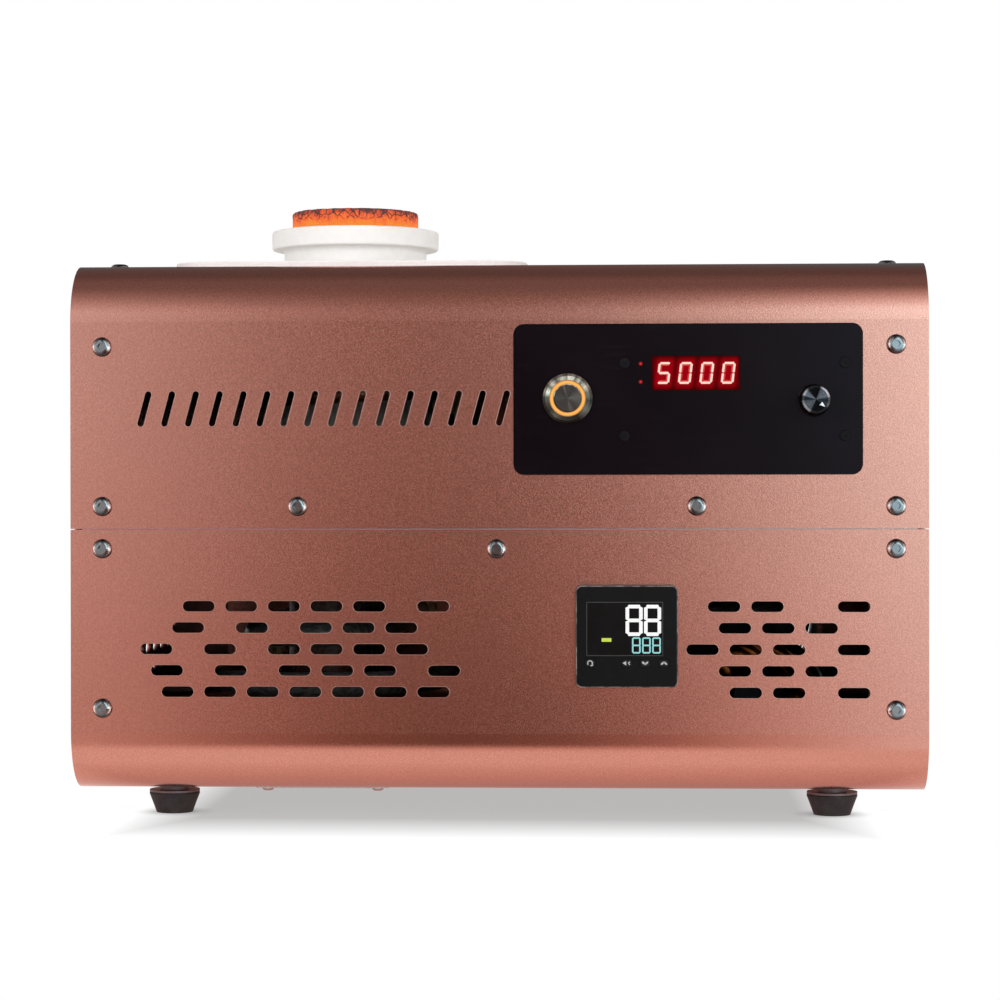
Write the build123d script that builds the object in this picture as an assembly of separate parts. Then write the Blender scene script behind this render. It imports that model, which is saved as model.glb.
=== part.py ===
"""Tabletop induction furnace for melting gold in a graphite crucible.

Frame: X to the right as seen from the front, Y to the back, Z up, floor at Z = 0.
All lengths are in millimetres. "Depth" runs from the front face of the case to its back.
Insets run inwards from the case's sides, and rises and drops from its bottom and top.
"""

import os
from math import atan2, cos, degrees, pi, radians, sqrt, tan

from build123d import *

# ---- case ----
case_width = 400.0
case_depth = 320.0
case_height = 248.3
bend_radius = 28.0
sheet = 2.0
seam_gap = 0.4
seam_drop = 0.8
seat_gap = 0.1
hole_gap = 0.15
run_gap = 0.05

# ---- side panels ----
side_sheet = 2.0
side_inset = 1.5
side_flange = 24.0
side_notch_gap = 0.5

# ---- shell screws: button heads with a hexagon socket ----
shell_screw_radius = 2.5
shell_head_radius = 4.6
shell_head_height = 2.75
shell_socket_radius = 1.75
shell_screw_length = 9.0
shell_screw_inset = 15.0
corner_screw_inset = 39.55
seam_screw_rise = 9.9
seam_screw_inset = 107.0
top_screw_depth = 46.0
bottom_screw_depth = 63.0

# ---- feet ----
foot_top_radius = 12.5
foot_bottom_radius = 8.75
foot_rubber_height = 10.0
foot_edge = 0.8
foot_washer_thickness = 1.0
foot_washer_margin = 0.4
foot_boss_radius = 7.0
foot_boss_height = 3.0
foot_side_inset = 41.5
foot_front_inset = 45.0
foot_recess_radius = 5.0
foot_recess_depth = 5.0
foot_screw_radius = 2.5
foot_head_radius = 4.6
foot_head_height = 4.0
foot_screw_spare = 2.0
foot_nut_height = 4.0
foot_nut_radius = 4.6

# ---- chassis shelf ----
shelf_sheet = 2.0
shelf_rise = 20.0
shelf_side_gap = 1.5
shelf_flange_drop = 35.7
shelf_hose_hole_radius = 8.0

# ---- vent slots in the lower shell: a 5 mm by 10 mm lattice ----
slot_length = 15.0
slot_width = 5.0
slot_row_pitch = 10.0
slot_first_row_rise = 87.35
left_slots_inset = 50.4
left_slot_rows = [
    [10, 30, 50, 70, 90, 120],
    [5, 35, 65, 85, 105],
    [-10, 20, 50, 70, 90, 110],
    [-5, 25, 55, 75, 95, 125],
    [0, 20, 40, 60, 80, 100, 120],
]
right_slots_inset = 104.5
right_slot_rows = [
    [10, 30, 70],
    [15, 35, 55],
    [0, 20, 40, 70],
    [15, 35, 55],
    [20, 40, 70],
]

# ---- row of slanted slots in the upper shell ----
louvre_length = 17.0
louvre_width = 3.0
louvre_slant = 15.0
louvre_count = 16
louvre_pitch = 11.2
louvre_inset = 119.0
louvre_drop = 68.65

# ---- slots in the side panels ----
side_slot_columns = 7
side_slot_rows = 4
side_slot_pitch = 22.0
side_slot_depth = 210.0
side_slot_rise = 62.15

# ---- control panel, and what it carries as offsets from its centre ----
panel_side_inset = 111.3
panel_drop = 64.75
panel_width = 161.5
panel_height = 70.0
panel_corner = 5.0
panel_thickness = 3.0
panel_edge = 0.3
board_screw_offsets_x = [-29.2, 72.5]
board_screw_offsets_z = [-17.1, 16.7]
board_screw_radius = 1.5
board_screw_head_radius = 2.6
board_screw_head_height = 0.6
board_socket_radius = 0.9
board_screw_spare = 1.0
standoff_radius = 2.9
standoff_length = 6.0
board_thickness = 1.6
board_margin = 6.0
board_nut_height = 2.4
board_nut_radius = 3.0
display_offset_x = 3.9
display_offset_z = 12.05
display_width = 40.8
display_height = 15.9
display_sink = 0.3
display_body_depth = 5.0
display_socket_margin = 2.0
display_cutout_margin = 0.5
indicator_offset_x = -21.7
indicator_offsets_z = [8.0, 16.4]
indicator_radius = 0.9
indicator_sink = 0.1
indicator_collar = 0.7
indicator_hole_margin = 0.5

# ---- push button with a ring light ----
button_offset_x = -55.5
button_offset_z = 0.4
button_head_radius = 11.6
button_head_height = 2.4
button_head_chamfer = 1.2
button_barrel_radius = 11.0
button_barrel_length = 28.0
button_tail_radius = 9.0
button_tail_length = 6.0
button_cap_radius = 6.2
button_cap_edge = 0.3
button_cap_length = 17.0
button_cap_proud = 0.2
button_travel = 3.0
button_ring_inner = 6.5
button_ring_outer = 8.5
button_ring_depth = 1.5
button_nut_height = 3.0
button_nut_radius = 15.5

# ---- power knob and potentiometer ----
knob_offset_x = 58.2
knob_offset_z = -0.8
knob_face_radius = 6.9
knob_base_radius = 7.5
knob_length = 14.0
knob_stand = 0.8
knob_edge = 0.8
knob_recess_radius = 5.9
knob_recess_depth = 2.8
knob_mark_angle = 130.0
knob_mark_length = 3.4
knob_mark_width = 1.2
knob_mark_depth = 0.4
knob_mark_inset = 2.8
pot_shaft_radius = 3.0
pot_shaft_in_knob = 9.0
pot_shaft_in_body = 7.0
pot_shaft_spare = 0.5
pot_bush_radius = 3.5
pot_body_radius = 8.0
pot_body_depth = 9.0
pot_nut_radius = 5.4
pot_nut_height = 2.0
pot_board_gap = 0.3

# ---- temperature controller ----
controller_side_inset = 139.5
controller_rise = 73.75
controller_bezel = 47.2
controller_bezel_depth = 7.5
controller_corner = 3.0
controller_edge = 0.8
controller_body = 44.6
controller_body_depth = 58.0
controller_wall = 2.0
controller_face_wall = 3.0
window_width = 35.4
window_height = 25.0
window_offset_x = -1.0
window_offset_z = 3.6
window_thickness = 1.2
key_offsets_x = [-17.0, 0.0, 8.4, 17.1]
key_offset_z = -12.2
key_width = 4.4
key_height = 3.4
key_corner = 0.6
key_edge = 0.25
key_proud = 0.4
key_flange = 0.8
key_flange_thickness = 1.0
clamp_width = 51.0
clamp_thickness = 6.0

# ---- crucible, liner and coil ----
crucible_side_inset = 122.5
crucible_depth = 118.0
crucible_stand = 33.85
crucible_radius = 32.0
crucible_height = 96.0
crucible_wall = 6.5
crucible_floor = 10.0
crucible_draft = 3.0
crucible_edge = 0.8
crucible_floor_round = 5.0
liner_stand = 14.75
liner_flange_height = 9.5
liner_flange_radius = 42.3
liner_gap = 0.6
liner_wall = 3.5
liner_floor = 6.0
liner_edge = 1.4
sleeve_gap = 0.4
sleeve_wall = 2.6
sleeve_height = 62.0
coil_tube_radius = 4.0
coil_tube_bore = 3.0
coil_gap = 0.6
coil_pitch = 10.5
coil_turns = 4.5
coil_start_height = 2.0
coil_lead_length = 90.0
brick_radius = 50.0
probe_radius = 1.5
probe_tail_length = 6.0
probe_collar_radius = 4.0
probe_collar_height = 8.0

# ---- insulating plate on the top ----
plate_shift = 3.5
plate_width = 172.0
plate_depth = 148.0
plate_corner = 20.0
plate_thickness = 4.0
plate_edge = 0.6
plate_screw_margin = 10.0
plate_screw_radius = 2.0
plate_screw_head_radius = 4.0
plate_screw_length = 12.0
plate_socket_radius = 1.4
plate_socket_depth = 0.75
top_cutout_margin = 20.0
top_cutout_corner = 8.0

# ---- coil terminals, capacitors and transformer ----
terminal_width = 20.0
terminal_depth = 24.0
terminal_cover = 7.0
terminal_socket = 12.0
capacitor_width = 50.0
capacitor_depth = 60.0
capacitor_corner = 3.0
transformer_side_inset = 76.0
transformer_depth = 52.0
transformer_major = 22.0
transformer_minor = 10.0
cradle_height = 14.0
cradle_sink = 7.0
cradle_width = 40.0
cradle_depth = 20.0

# ---- cooling water ----
hose_radius = 6.0
stub_radius = 4.0
stub_bore = 2.8
stub_length = 12.0
hose_end_gap = 1.0
hose_bend = 24.0
hose_lower_bend = 45.0
hose_straight = 8.0
inlet_run_rise = 72.15
inlet_return_inset = 140.0
inlet_front_depth = 40.0
inlet_loop_bend = 29.0
outlet_run_rise = 48.15
outlet_return_inset = 50.0
outlet_front_depth = 35.0
outlet_loop_bend = 56.0
fitting_pipe_radius = 4.5
fitting_pipe_length = 25.0
fitting_collar_radius = 9.0
fitting_collar_length = 5.0
fitting_thread_radius = 6.0
fitting_thread_length = 12.0
fitting_nut_radius = 10.0
fitting_nut_height = 5.0

# ---- mains inlet, breaker and contactor ----
gland_side_inset = 130.0
gland_drop = 64.15
gland_bore = 6.75
gland_thread_radius = 10.0
gland_thread_length = 12.0
gland_hex_radius = 15.0
gland_hex_length = 8.0
gland_dome_radius = 12.5
gland_dome_length = 18.0
gland_dome_edge = 4.0
gland_nut_radius = 16.0
gland_nut_height = 5.0
breaker_side_inset = 80.0
breaker_stand = 0.5
breaker_width = 36.0
breaker_body_height = 75.0
breaker_body_depth = 58.0
breaker_neck_height = 45.0
breaker_neck_proud = 4.0
lever_width = 10.0
lever_hub_radius = 8.0
lever_pivot_back = 6.0
lever_reach = 20.0
lever_thickness = 4.0
lever_corner = 1.0
lever_angle = 25.0
lever_slot_half_height = 10.0
contactor_side_inset = 122.0
contactor_back_inset = 115.0
contactor_width = 45.0
contactor_length = 74.0
contactor_height = 80.0
contactor_step_length = 15.0
contactor_step_height = 48.0

# ---- fans ----
fan_side_insets = [158.0, 72.0]
fan_gap = 0.4
fan_size = 80.0
fan_corner = 4.0
fan_thickness = 25.0
fan_duct_radius = 38.0
fan_screw_spacing = 71.5
fan_screw_radius = 2.0
fan_screw_length = 20.0
fan_screw_head_radius = 3.6
fan_screw_head_height = 2.4
fan_socket_radius = 1.3
fan_hub_radius = 16.0
fan_hub_thickness = 3.0
fan_strut_width = 5.0
fan_rotor_radius = 17.0
fan_rotor_length = 18.0
fan_rotor_edge = 1.5
fan_rotor_gap = 1.0
fan_cup_wall = 2.5
fan_blade_count = 7
fan_blade_reach = 37.0
fan_blade_thickness = 1.6
fan_blade_chord = 28.0
fan_blade_pitch = 60.0
fan_shaft_radius = 2.0
fan_shaft_gap = 0.5
fan_bearing_radius = 5.0
fan_bearing_length = 13.0
fan_bearing_floor = 1.0
guard_wire = 0.9
guard_rings = [10.0, 19.0, 28.0, 37.0]
guard_ring_lift = 1.44
guard_eye_radius = 4.2
guard_eye_thickness = 1.5

# ---- inverter ----
sink_side_inset = 40.0
sink_width = 140.0
sink_near = 85.0
sink_length = 170.0
sink_fin_height = 35.0
sink_base = 8.0
sink_fin_count = 14
sink_fin_thickness = 2.2
module_length = 94.0
module_width = 34.0
module_height = 30.0
module_corner = 2.0
module_spacing = 80.0
inverter_board_width = 124.0
inverter_board_length = 140.0
can_shift = -13.5
can_radius = 19.0
can_height = 85.0
can_edge = 1.5
can_depths = [105.0, 150.0, 195.0]

# ---- service plate under the bottom ----
service_side_inset = 114.3
service_screw_spacing_x = 53.0
service_front_depth = 39.0
service_screw_spacing_depth = 38.0
service_margin = 5.5
service_corner = 3.0
service_thickness = 1.2
service_opening_margin = 12.0
small_screw_radius = 1.5
small_head_radius = 2.85
small_head_height = 1.65
small_socket_radius = 1.15
small_screw_length = 6.0

# ---- places worked out from the sizes above ----
right = case_width / 2
left = -right
bottom = foot_rubber_height + foot_washer_thickness + foot_boss_height
top = bottom + case_height
mid = bottom + case_height / 2
seam = mid - seam_drop
front_reach = panel_thickness + knob_stand + knob_length
rear_reach = fitting_collar_length + fitting_pipe_length
front = (front_reach - rear_reach - case_depth) / 2
middle_y = front + case_depth / 2
inner_back = case_depth - sheet
floor_inside = bottom + sheet
shelf_top = mid + shelf_rise
shelf_low = shelf_top - shelf_sheet
flange_low = shelf_top - shelf_flange_drop
flange_inside = right - side_inset - side_sheet - side_flange

panel_front = -panel_thickness
panel_x = right - panel_side_inset
panel_z = top - panel_drop
button_x = panel_x + button_offset_x
button_z = panel_z + button_offset_z
button_face = panel_front - button_head_height
display_x = panel_x + display_offset_x
display_z = panel_z + display_offset_z
indicator_places = [(panel_x + indicator_offset_x, panel_z + z) for z in indicator_offsets_z]
board_screw_places = [
    (panel_x + x, panel_z + z) for x in board_screw_offsets_x for z in board_screw_offsets_z
]
board_near = sheet + standoff_length
board_far = board_near + board_thickness
knob_x = panel_x + knob_offset_x
knob_z = panel_z + knob_offset_z
knob_near = panel_front - knob_stand
knob_face = knob_near - knob_length
pot_shaft_near = knob_near - knob_recess_depth - pot_shaft_in_knob

controller_x = right - controller_side_inset
controller_z = bottom + controller_rise
controller_face = -controller_bezel_depth
key_inner = controller_face + controller_face_wall
key_z = controller_z + key_offset_z

crucible_x = left + crucible_side_inset
crucible_y = front + crucible_depth
crucible_rim = top + crucible_stand
crucible_low = crucible_rim - crucible_height
liner_bore = crucible_radius + liner_gap
liner_radius = liner_bore + liner_wall
liner_low = crucible_low - liner_floor
sleeve_bore = liner_radius + sleeve_gap
sleeve_radius = sleeve_bore + sleeve_wall
coil_radius = sleeve_radius + coil_gap + coil_tube_radius
coil_low = liner_low + coil_start_height + coil_tube_radius
coil_slope = degrees(atan2(coil_pitch, 2 * pi * coil_radius))
lead_rise = tan(radians(coil_slope)) * coil_lead_length
inlet_x = crucible_x - coil_radius
outlet_x = crucible_x + coil_radius
inlet_height = coil_low - lead_rise
outlet_height = coil_low + coil_turns * coil_pitch + lead_rise
terminal_near = crucible_depth + coil_lead_length - terminal_socket
terminal_far = terminal_near + terminal_depth
terminal_low = inlet_height - terminal_cover
plate_x = crucible_x + plate_shift
plate_head_height = plate_screw_head_radius - plate_screw_radius

hose_start = terminal_far + hose_end_gap
hose_rear_depth = terminal_far + stub_length + hose_bend + hose_straight
hose_end = inner_back - fitting_thread_length - hose_end_gap
inlet_run = bottom + inlet_run_rise
outlet_run = bottom + outlet_run_rise
inlet_return_x = left + inlet_return_inset
outlet_return_x = left + outlet_return_inset
fitting_places = [(inlet_return_x, inlet_run), (outlet_return_x, outlet_run)]

gland_x = right - gland_side_inset
gland_z = top - gland_drop
breaker_x = right - breaker_side_inset
breaker_z = shelf_top + breaker_stand + breaker_body_height / 2
lever_y = front + case_depth - lever_pivot_back
contactor_x = right - contactor_side_inset
contactor_depth = case_depth - contactor_back_inset
transformer_x = right - transformer_side_inset

fan_xs = [right - inset for inset in fan_side_insets]
fan_z = flange_low - fan_gap - fan_size / 2
fan_near = inner_back - fan_thickness
fan_hub_far = fan_near + fan_hub_thickness
rotor_near = fan_hub_far + fan_rotor_gap
rotor_far = rotor_near + fan_rotor_length

sink_x = right - sink_side_inset - sink_width / 2
sink_low = sink_x - sink_width / 2
sink_depth = sink_near + sink_length / 2
sink_top = floor_inside + sink_fin_height + sink_base
board_level = sink_top + module_height
can_x = crucible_x + can_shift

service_x = left + service_side_inset
service_y = front + service_front_depth + service_screw_spacing_depth / 2


# ---- helpers ----
def depth_plane(depth):
    return Plane(origin=(0, front + depth, 0), x_dir=(1, 0, 0), z_dir=(0, -1, 0))


def front_prism(sketch, near, far):
    """Solid of a front view (x, z) between two depths."""
    return extrude(depth_plane(far) * sketch, amount=far - near)


def top_prism(sketch, low, high):
    """Solid of a top view (x, y) between two heights."""
    return extrude(Plane.XY.offset(low) * sketch, amount=high - low)


def side_prism(sketch, left, right):
    """Solid of a side view (y, z) between two places along X."""
    plane = Plane(origin=(left, 0, 0), x_dir=(0, 1, 0), z_dir=(1, 0, 0))
    return extrude(plane * sketch, amount=right - left)


def rod(radius, x, z, near, far):
    """Round bar along the depth."""
    return front_prism(Pos(x, z) * Circle(radius), near, far)


def post(radius, x, depth, low, high):
    """Round bar upwards."""
    return top_prism(Pos(x, front + depth) * Circle(radius), low, high)


def block(left, right, near, far, low, high):
    size = (right - left, far - near, high - low)
    centre = ((left + right) / 2, front + (near + far) / 2, (low + high) / 2)
    return Pos(*centre) * Box(*size)


def copies(places, sketch):
    """One sketch repeated at the given places."""
    return Sketch() + [Pos(*place) * sketch for place in places]


def group(shapes):
    return Compound(children=list(shapes))


def button_screw(radius, head_radius, head_height, socket_radius, length):
    """Button-head screw: the head stands on Z = 0 and the shank hangs below it."""
    head = Pos(0, 0, head_height / 2) * Cylinder(head_radius, head_height)
    head = fillet(head.edges().group_by(Axis.Z)[-1], head_height * 0.85)
    socket = Pos(0, 0, head_height * 0.4) * extrude(RegularPolygon(socket_radius, 6), amount=head_height)
    shank = Pos(0, 0, -length / 2) * Cylinder(radius, length)
    return head - socket + shank


def facing_front(shape, x, z, depth=0.0):
    return Pos(x, front + depth, z) * Rot(90, 0, 0) * shape


def facing_back(shape, x, z, depth=case_depth):
    return Pos(x, front + depth, z) * Rot(-90, 0, 0) * shape


def case_outline(inset):
    outline = RectangleRounded(case_depth - 2 * inset, case_height - 2 * inset, bend_radius - inset)
    return Pos(middle_y, mid) * outline


def fan_corners():
    half = fan_screw_spacing / 2
    return [(x + sx * half, fan_z + sz * half) for x in fan_xs for sx in (-1, 1) for sz in (-1, 1)]


# ---- shell screws ----
upper_face_screws = [
    (sign * (right - inset), z)
    for sign in (-1, 1)
    for inset, z in (
        (shell_screw_inset, top - corner_screw_inset),
        (shell_screw_inset, mid + seam_screw_rise),
        (seam_screw_inset, mid + seam_screw_rise),
    )
]
lower_face_screws = [
    (left + shell_screw_inset, bottom + corner_screw_inset),
    (right - shell_screw_inset, bottom + corner_screw_inset),
    (left + shell_screw_inset, mid - seam_screw_rise),
    (0, mid - seam_screw_rise),
    (right - shell_screw_inset, mid - seam_screw_rise),
]


def level_screw_places(depth):
    """Four screws at one depth from the front and from the back."""
    side = right - shell_screw_inset
    return [(x, front + y) for x in (-side, side) for y in (depth, case_depth - depth)]


top_screws = level_screw_places(top_screw_depth)
bottom_screws = level_screw_places(bottom_screw_depth)


def shell_screws():
    screw = button_screw(
        shell_screw_radius, shell_head_radius, shell_head_height, shell_socket_radius, shell_screw_length
    )
    face = upper_face_screws + lower_face_screws
    screws = [facing_front(screw, x, z) for x, z in face]
    screws += [facing_back(screw, x, z) for x, z in face]
    screws += [Pos(x, y, top) * screw for x, y in top_screws]
    screws += [Pos(x, y, bottom) * Rot(180, 0, 0) * screw for x, y in bottom_screws]
    return group(screws)


def face_screw_holes(places, radius):
    """Holes for one shell's screws, through the front and the back."""
    return front_prism(copies(places, Circle(radius)), -1, case_depth + 1)


def level_screw_holes(places, radius, low, high):
    """Holes for the screws of the top or of the bottom."""
    return top_prism(copies(places, Circle(radius)), low, high)


# ---- case ----
def vent_places(first_x, rows):
    return [
        (first_x + x, bottom + slot_first_row_rise - number * slot_row_pitch)
        for number, row in enumerate(rows)
        for x in row
    ]


def louvre_sketch():
    first = left + louvre_inset - (louvre_count - 1) / 2 * louvre_pitch
    slot = Rot(0, 0, 90 - louvre_slant) * SlotOverall(louvre_length, louvre_width)
    return copies([(first + n * louvre_pitch, top - louvre_drop) for n in range(louvre_count)], slot)


def case_wrap():
    return side_prism(case_outline(0) - case_outline(sheet), -case_width / 2, case_width / 2)


def above(level):
    return block(-case_width, case_width, -50, case_depth + 50, level, top + 50)


def below(level):
    return block(-case_width, case_width, -50, case_depth + 50, bottom - 50, level)


def upper_shell():
    shell = case_wrap() & above(seam + seam_gap / 2)
    through_face = front_prism(louvre_sketch(), -1, sheet + 1)
    through_face += rod(button_barrel_radius + hole_gap, button_x, button_z, -1, sheet + 1)
    through_face += rod(pot_bush_radius + hole_gap, knob_x, knob_z, -1, sheet + 1)
    window = Rectangle(display_width + 2 * display_cutout_margin, display_height + 2 * display_cutout_margin)
    through_face += front_prism(Pos(display_x, display_z) * window, -1, sheet + 1)
    small_holes = copies(board_screw_places, Circle(board_screw_radius + hole_gap))
    small_holes += copies(indicator_places, Circle(indicator_radius + indicator_hole_margin))
    through_face += front_prism(small_holes, -1, sheet + 1)
    through_top = top_prism(plate_sketch(top_cutout_margin, top_cutout_corner), top - sheet - 1, top + 1)
    tapped = copies(plate_screw_places, Circle(plate_screw_radius + run_gap))
    through_top += top_prism(tapped, top - sheet - 1, top + 1)
    through_back = rod(gland_thread_radius + hole_gap, gland_x, gland_z, inner_back - 1, case_depth + 1)
    neck = Rectangle(breaker_width + 2 * hole_gap, breaker_neck_height + 2 * hole_gap)
    through_back += front_prism(Pos(breaker_x, breaker_z) * neck, inner_back - 1, case_depth + 1)
    screws = face_screw_holes(upper_face_screws, shell_screw_radius + hole_gap)
    screws += level_screw_holes(top_screws, shell_screw_radius + hole_gap, top - sheet - 1, top + 1)
    return shell - through_face - through_top - through_back - screws


def lower_shell():
    shell = case_wrap() & below(seam - seam_gap / 2)
    slot = SlotOverall(slot_length, slot_width)
    places = vent_places(left + left_slots_inset, left_slot_rows)
    places += vent_places(right - right_slots_inset, right_slot_rows)
    through_face = front_prism(copies(places, slot), -1, sheet + 1)
    cutout = controller_body + 2 * hole_gap
    through_face += front_prism(Pos(controller_x, controller_z) * Rectangle(cutout, cutout), -1, sheet + 1)
    back_holes = copies([(x, fan_z) for x in fan_xs], Circle(fan_duct_radius))
    back_holes += copies(fan_corners(), Circle(fan_screw_radius + hole_gap))
    back_holes += copies(fitting_places, Circle(fitting_thread_radius + hole_gap))
    through_back = front_prism(back_holes, inner_back - 1, case_depth + 1)
    floor_holes = service_sketch(-service_opening_margin)
    floor_holes += copies(service_screw_places, Circle(small_screw_radius + run_gap))
    floor_holes += copies(foot_places, Circle(foot_screw_radius + hole_gap))
    through_floor = top_prism(floor_holes, bottom - 1, floor_inside + 1)
    screws = face_screw_holes(lower_face_screws, shell_screw_radius + hole_gap)
    screws += level_screw_holes(bottom_screws, shell_screw_radius + hole_gap, bottom - 1, floor_inside + 1)
    return shell - through_face - through_back - through_floor - screws


def right_side_panel():
    outer = right - side_inset
    inset = sheet + seat_gap
    panel = side_prism(case_outline(inset), outer - side_sheet, outer)
    ring = case_outline(inset) - case_outline(inset + side_sheet)
    panel += side_prism(ring, outer - side_sheet - side_flange, outer - side_sheet)
    inside = outer - side_sheet
    low, high = flange_low - side_notch_gap, shelf_top + side_notch_gap
    for near, far in ((0, inset + side_sheet + 1), (case_depth - inset - side_sheet - 1, case_depth)):
        panel -= block(flange_inside - 1, inside, near, far, low, high)
    columns = [(n - (side_slot_columns - 1) / 2) * side_slot_pitch for n in range(side_slot_columns)]
    rows = [(n - (side_slot_rows - 1) / 2) * slot_row_pitch for n in range(side_slot_rows)]
    places = [(front + side_slot_depth + y, bottom + side_slot_rise + z) for y in columns for z in rows]
    panel -= side_prism(copies(places, SlotOverall(slot_length, slot_width)), inside - 1, outer + 1)
    tapped = shell_screw_radius + run_gap
    panel -= face_screw_holes(upper_face_screws + lower_face_screws, tapped)
    panel -= level_screw_holes(top_screws, tapped, mid, top + 1)
    return panel - level_screw_holes(bottom_screws, tapped, bottom - 1, mid)


def chassis_shelf():
    inset = sheet + seat_gap
    half = flange_inside - shelf_side_gap
    tray = block(-half, half, inset, case_depth - inset, shelf_low, shelf_top)
    half += side_flange
    tray += block(-half, half, inset, inset + shelf_sheet, flange_low, shelf_top)
    tray += block(-half, half, case_depth - inset - shelf_sheet, case_depth - inset, flange_low, shelf_top)
    tray -= face_screw_holes(upper_face_screws + lower_face_screws, shell_screw_radius + run_gap)
    for x in (inlet_x, outlet_x):
        tray -= post(shelf_hose_hole_radius, x, hose_rear_depth, shelf_low - 1, shelf_top + 1)
    return tray - post(probe_radius + hole_gap, crucible_x, crucible_depth, shelf_low - 1, shelf_top + 1)


# ---- feet ----
foot_places = [
    (sign * (right - foot_side_inset), front + depth)
    for sign in (-1, 1)
    for depth in (foot_front_inset, case_depth - foot_front_inset)
]


def rubber_feet():
    foot = Pos(0, 0, foot_rubber_height / 2) * Cone(foot_bottom_radius, foot_top_radius, foot_rubber_height)
    foot = fillet(foot.edges().group_by(Axis.Z)[-1], foot_edge)
    foot -= Pos(0, 0, foot_recess_depth / 2) * Cylinder(foot_recess_radius, foot_recess_depth)
    foot -= Pos(0, 0, foot_rubber_height / 2) * Cylinder(foot_screw_radius + hole_gap, foot_rubber_height)
    return group([Pos(x, y, 0) * foot for x, y in foot_places])


def foot_washers():
    low = foot_rubber_height
    shoulder = low + foot_washer_thickness
    washers = top_prism(copies(foot_places, Circle(foot_top_radius - foot_washer_margin)), low, shoulder)
    washers += top_prism(copies(foot_places, Circle(foot_boss_radius)), shoulder, bottom)
    return washers - top_prism(copies(foot_places, Circle(foot_screw_radius + hole_gap)), low, bottom)


def foot_screws():
    pieces = []
    nut_top = floor_inside + foot_nut_height
    for x, y in foot_places:
        length = nut_top + foot_screw_spare - foot_recess_depth
        screw = button_screw(
            foot_screw_radius, foot_head_radius, foot_head_height, shell_socket_radius, length
        )
        pieces.append(Pos(x, y, foot_recess_depth) * Rot(180, 0, 0) * screw)
        nut = RegularPolygon(foot_nut_radius, 6) - Circle(foot_screw_radius + run_gap)
        pieces.append(top_prism(Pos(x, y) * nut, floor_inside, nut_top))
    return group(pieces)


# ---- service plate ----
service_screw_places = [
    (service_x + sx * service_screw_spacing_x / 2, service_y + sy * service_screw_spacing_depth / 2)
    for sx in (-1, 1)
    for sy in (-1, 1)
]


def service_sketch(margin):
    width = service_screw_spacing_x + 2 * margin
    length = service_screw_spacing_depth + 2 * margin
    return Pos(service_x, service_y) * RectangleRounded(width, length, service_corner)


def bottom_service_plate():
    plate = top_prism(service_sketch(service_margin), bottom - service_thickness, bottom)
    holes = copies(service_screw_places, Circle(small_screw_radius + hole_gap))
    return plate - top_prism(holes, bottom - service_thickness, bottom)


def service_plate_screws():
    screw = button_screw(
        small_screw_radius, small_head_radius, small_head_height, small_socket_radius, small_screw_length
    )
    hanging = Pos(0, 0, bottom - service_thickness) * Rot(180, 0, 0) * screw
    return group([Pos(x, y, 0) * hanging for x, y in service_screw_places])


# ---- insulating plate on the top ----
def plate_sketch(margin=0.0, corner=plate_corner):
    outline = RectangleRounded(plate_width - 2 * margin, plate_depth - 2 * margin, corner)
    return Pos(plate_x, crucible_y) * outline


plate_screw_places = [
    (
        plate_x + sx * (plate_width / 2 - plate_screw_margin),
        crucible_y + sy * (plate_depth / 2 - plate_screw_margin),
    )
    for sx in (-1, 1)
    for sy in (-1, 1)
]


def top_insulation_plate():
    plate = top_prism(plate_sketch(), top, top + plate_thickness)
    plate -= post(liner_radius + sleeve_gap, crucible_x, crucible_depth, top, top + plate_thickness)
    plate = fillet(plate.faces().sort_by(Axis.Z)[-1].outer_wire().edges(), plate_edge)
    holes = copies(plate_screw_places, Circle(plate_screw_radius + hole_gap))
    plate -= top_prism(holes, top, top + plate_thickness)
    sink = Cone(plate_screw_radius + hole_gap, plate_screw_head_radius + hole_gap, plate_head_height)
    for x, y in plate_screw_places:
        plate -= Pos(x, y, top + plate_thickness - plate_head_height / 2) * sink
    return plate


def insulation_plate_screws():
    cone = Cone(plate_screw_radius, plate_screw_head_radius, plate_head_height)
    head = Pos(0, 0, -plate_head_height / 2) * cone
    shank = Pos(0, 0, -plate_screw_length / 2) * Cylinder(plate_screw_radius, plate_screw_length)
    socket = extrude(RegularPolygon(plate_socket_radius, 6), amount=-plate_socket_depth)
    screw = head + shank - socket
    return group([Pos(x, y, top + plate_thickness) * screw for x, y in plate_screw_places])


# ---- crucible and liner ----
def turned(points):
    """Solid turned about the crucible's axis from (radius, height) points."""
    outline = make_face(Polyline(*[(r, 0, z) for r, z in points], close=True))
    return Pos(crucible_x, crucible_y, 0) * revolve(outline, Axis.Z)


def circles(shape, radius):
    """Round edges of one radius."""
    return shape.edges().filter_by(GeomType.CIRCLE).filter_by(lambda edge: abs(edge.radius - radius) < 0.01)


def crucible_liner():
    low = top + liner_stand
    high = low + liner_flange_height
    liner = turned([
        (0, liner_low), (liner_radius, liner_low), (liner_radius, low), (liner_flange_radius, low),
        (liner_flange_radius, high), (liner_bore, high), (liner_bore, crucible_low), (0, crucible_low),
    ])
    return fillet(circles(liner, liner_flange_radius), liner_edge)


def graphite_crucible():
    mouth = crucible_radius - crucible_wall
    well = mouth - crucible_draft
    floor_height = crucible_low + crucible_floor
    cup = turned([
        (0, crucible_low), (crucible_radius, crucible_low), (crucible_radius, crucible_rim),
        (mouth, crucible_rim), (well, floor_height), (0, floor_height),
    ])
    rim_edges = cup.edges().group_by(Axis.Z)[-1]
    cup = fillet(rim_edges, crucible_edge)
    return fillet(circles(cup, well), crucible_floor_round)


def coil_sleeve():
    ring = Pos(crucible_x, crucible_y) * (Circle(sleeve_radius) - Circle(sleeve_bore))
    return top_prism(ring, liner_low, liner_low + sleeve_height)


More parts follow.
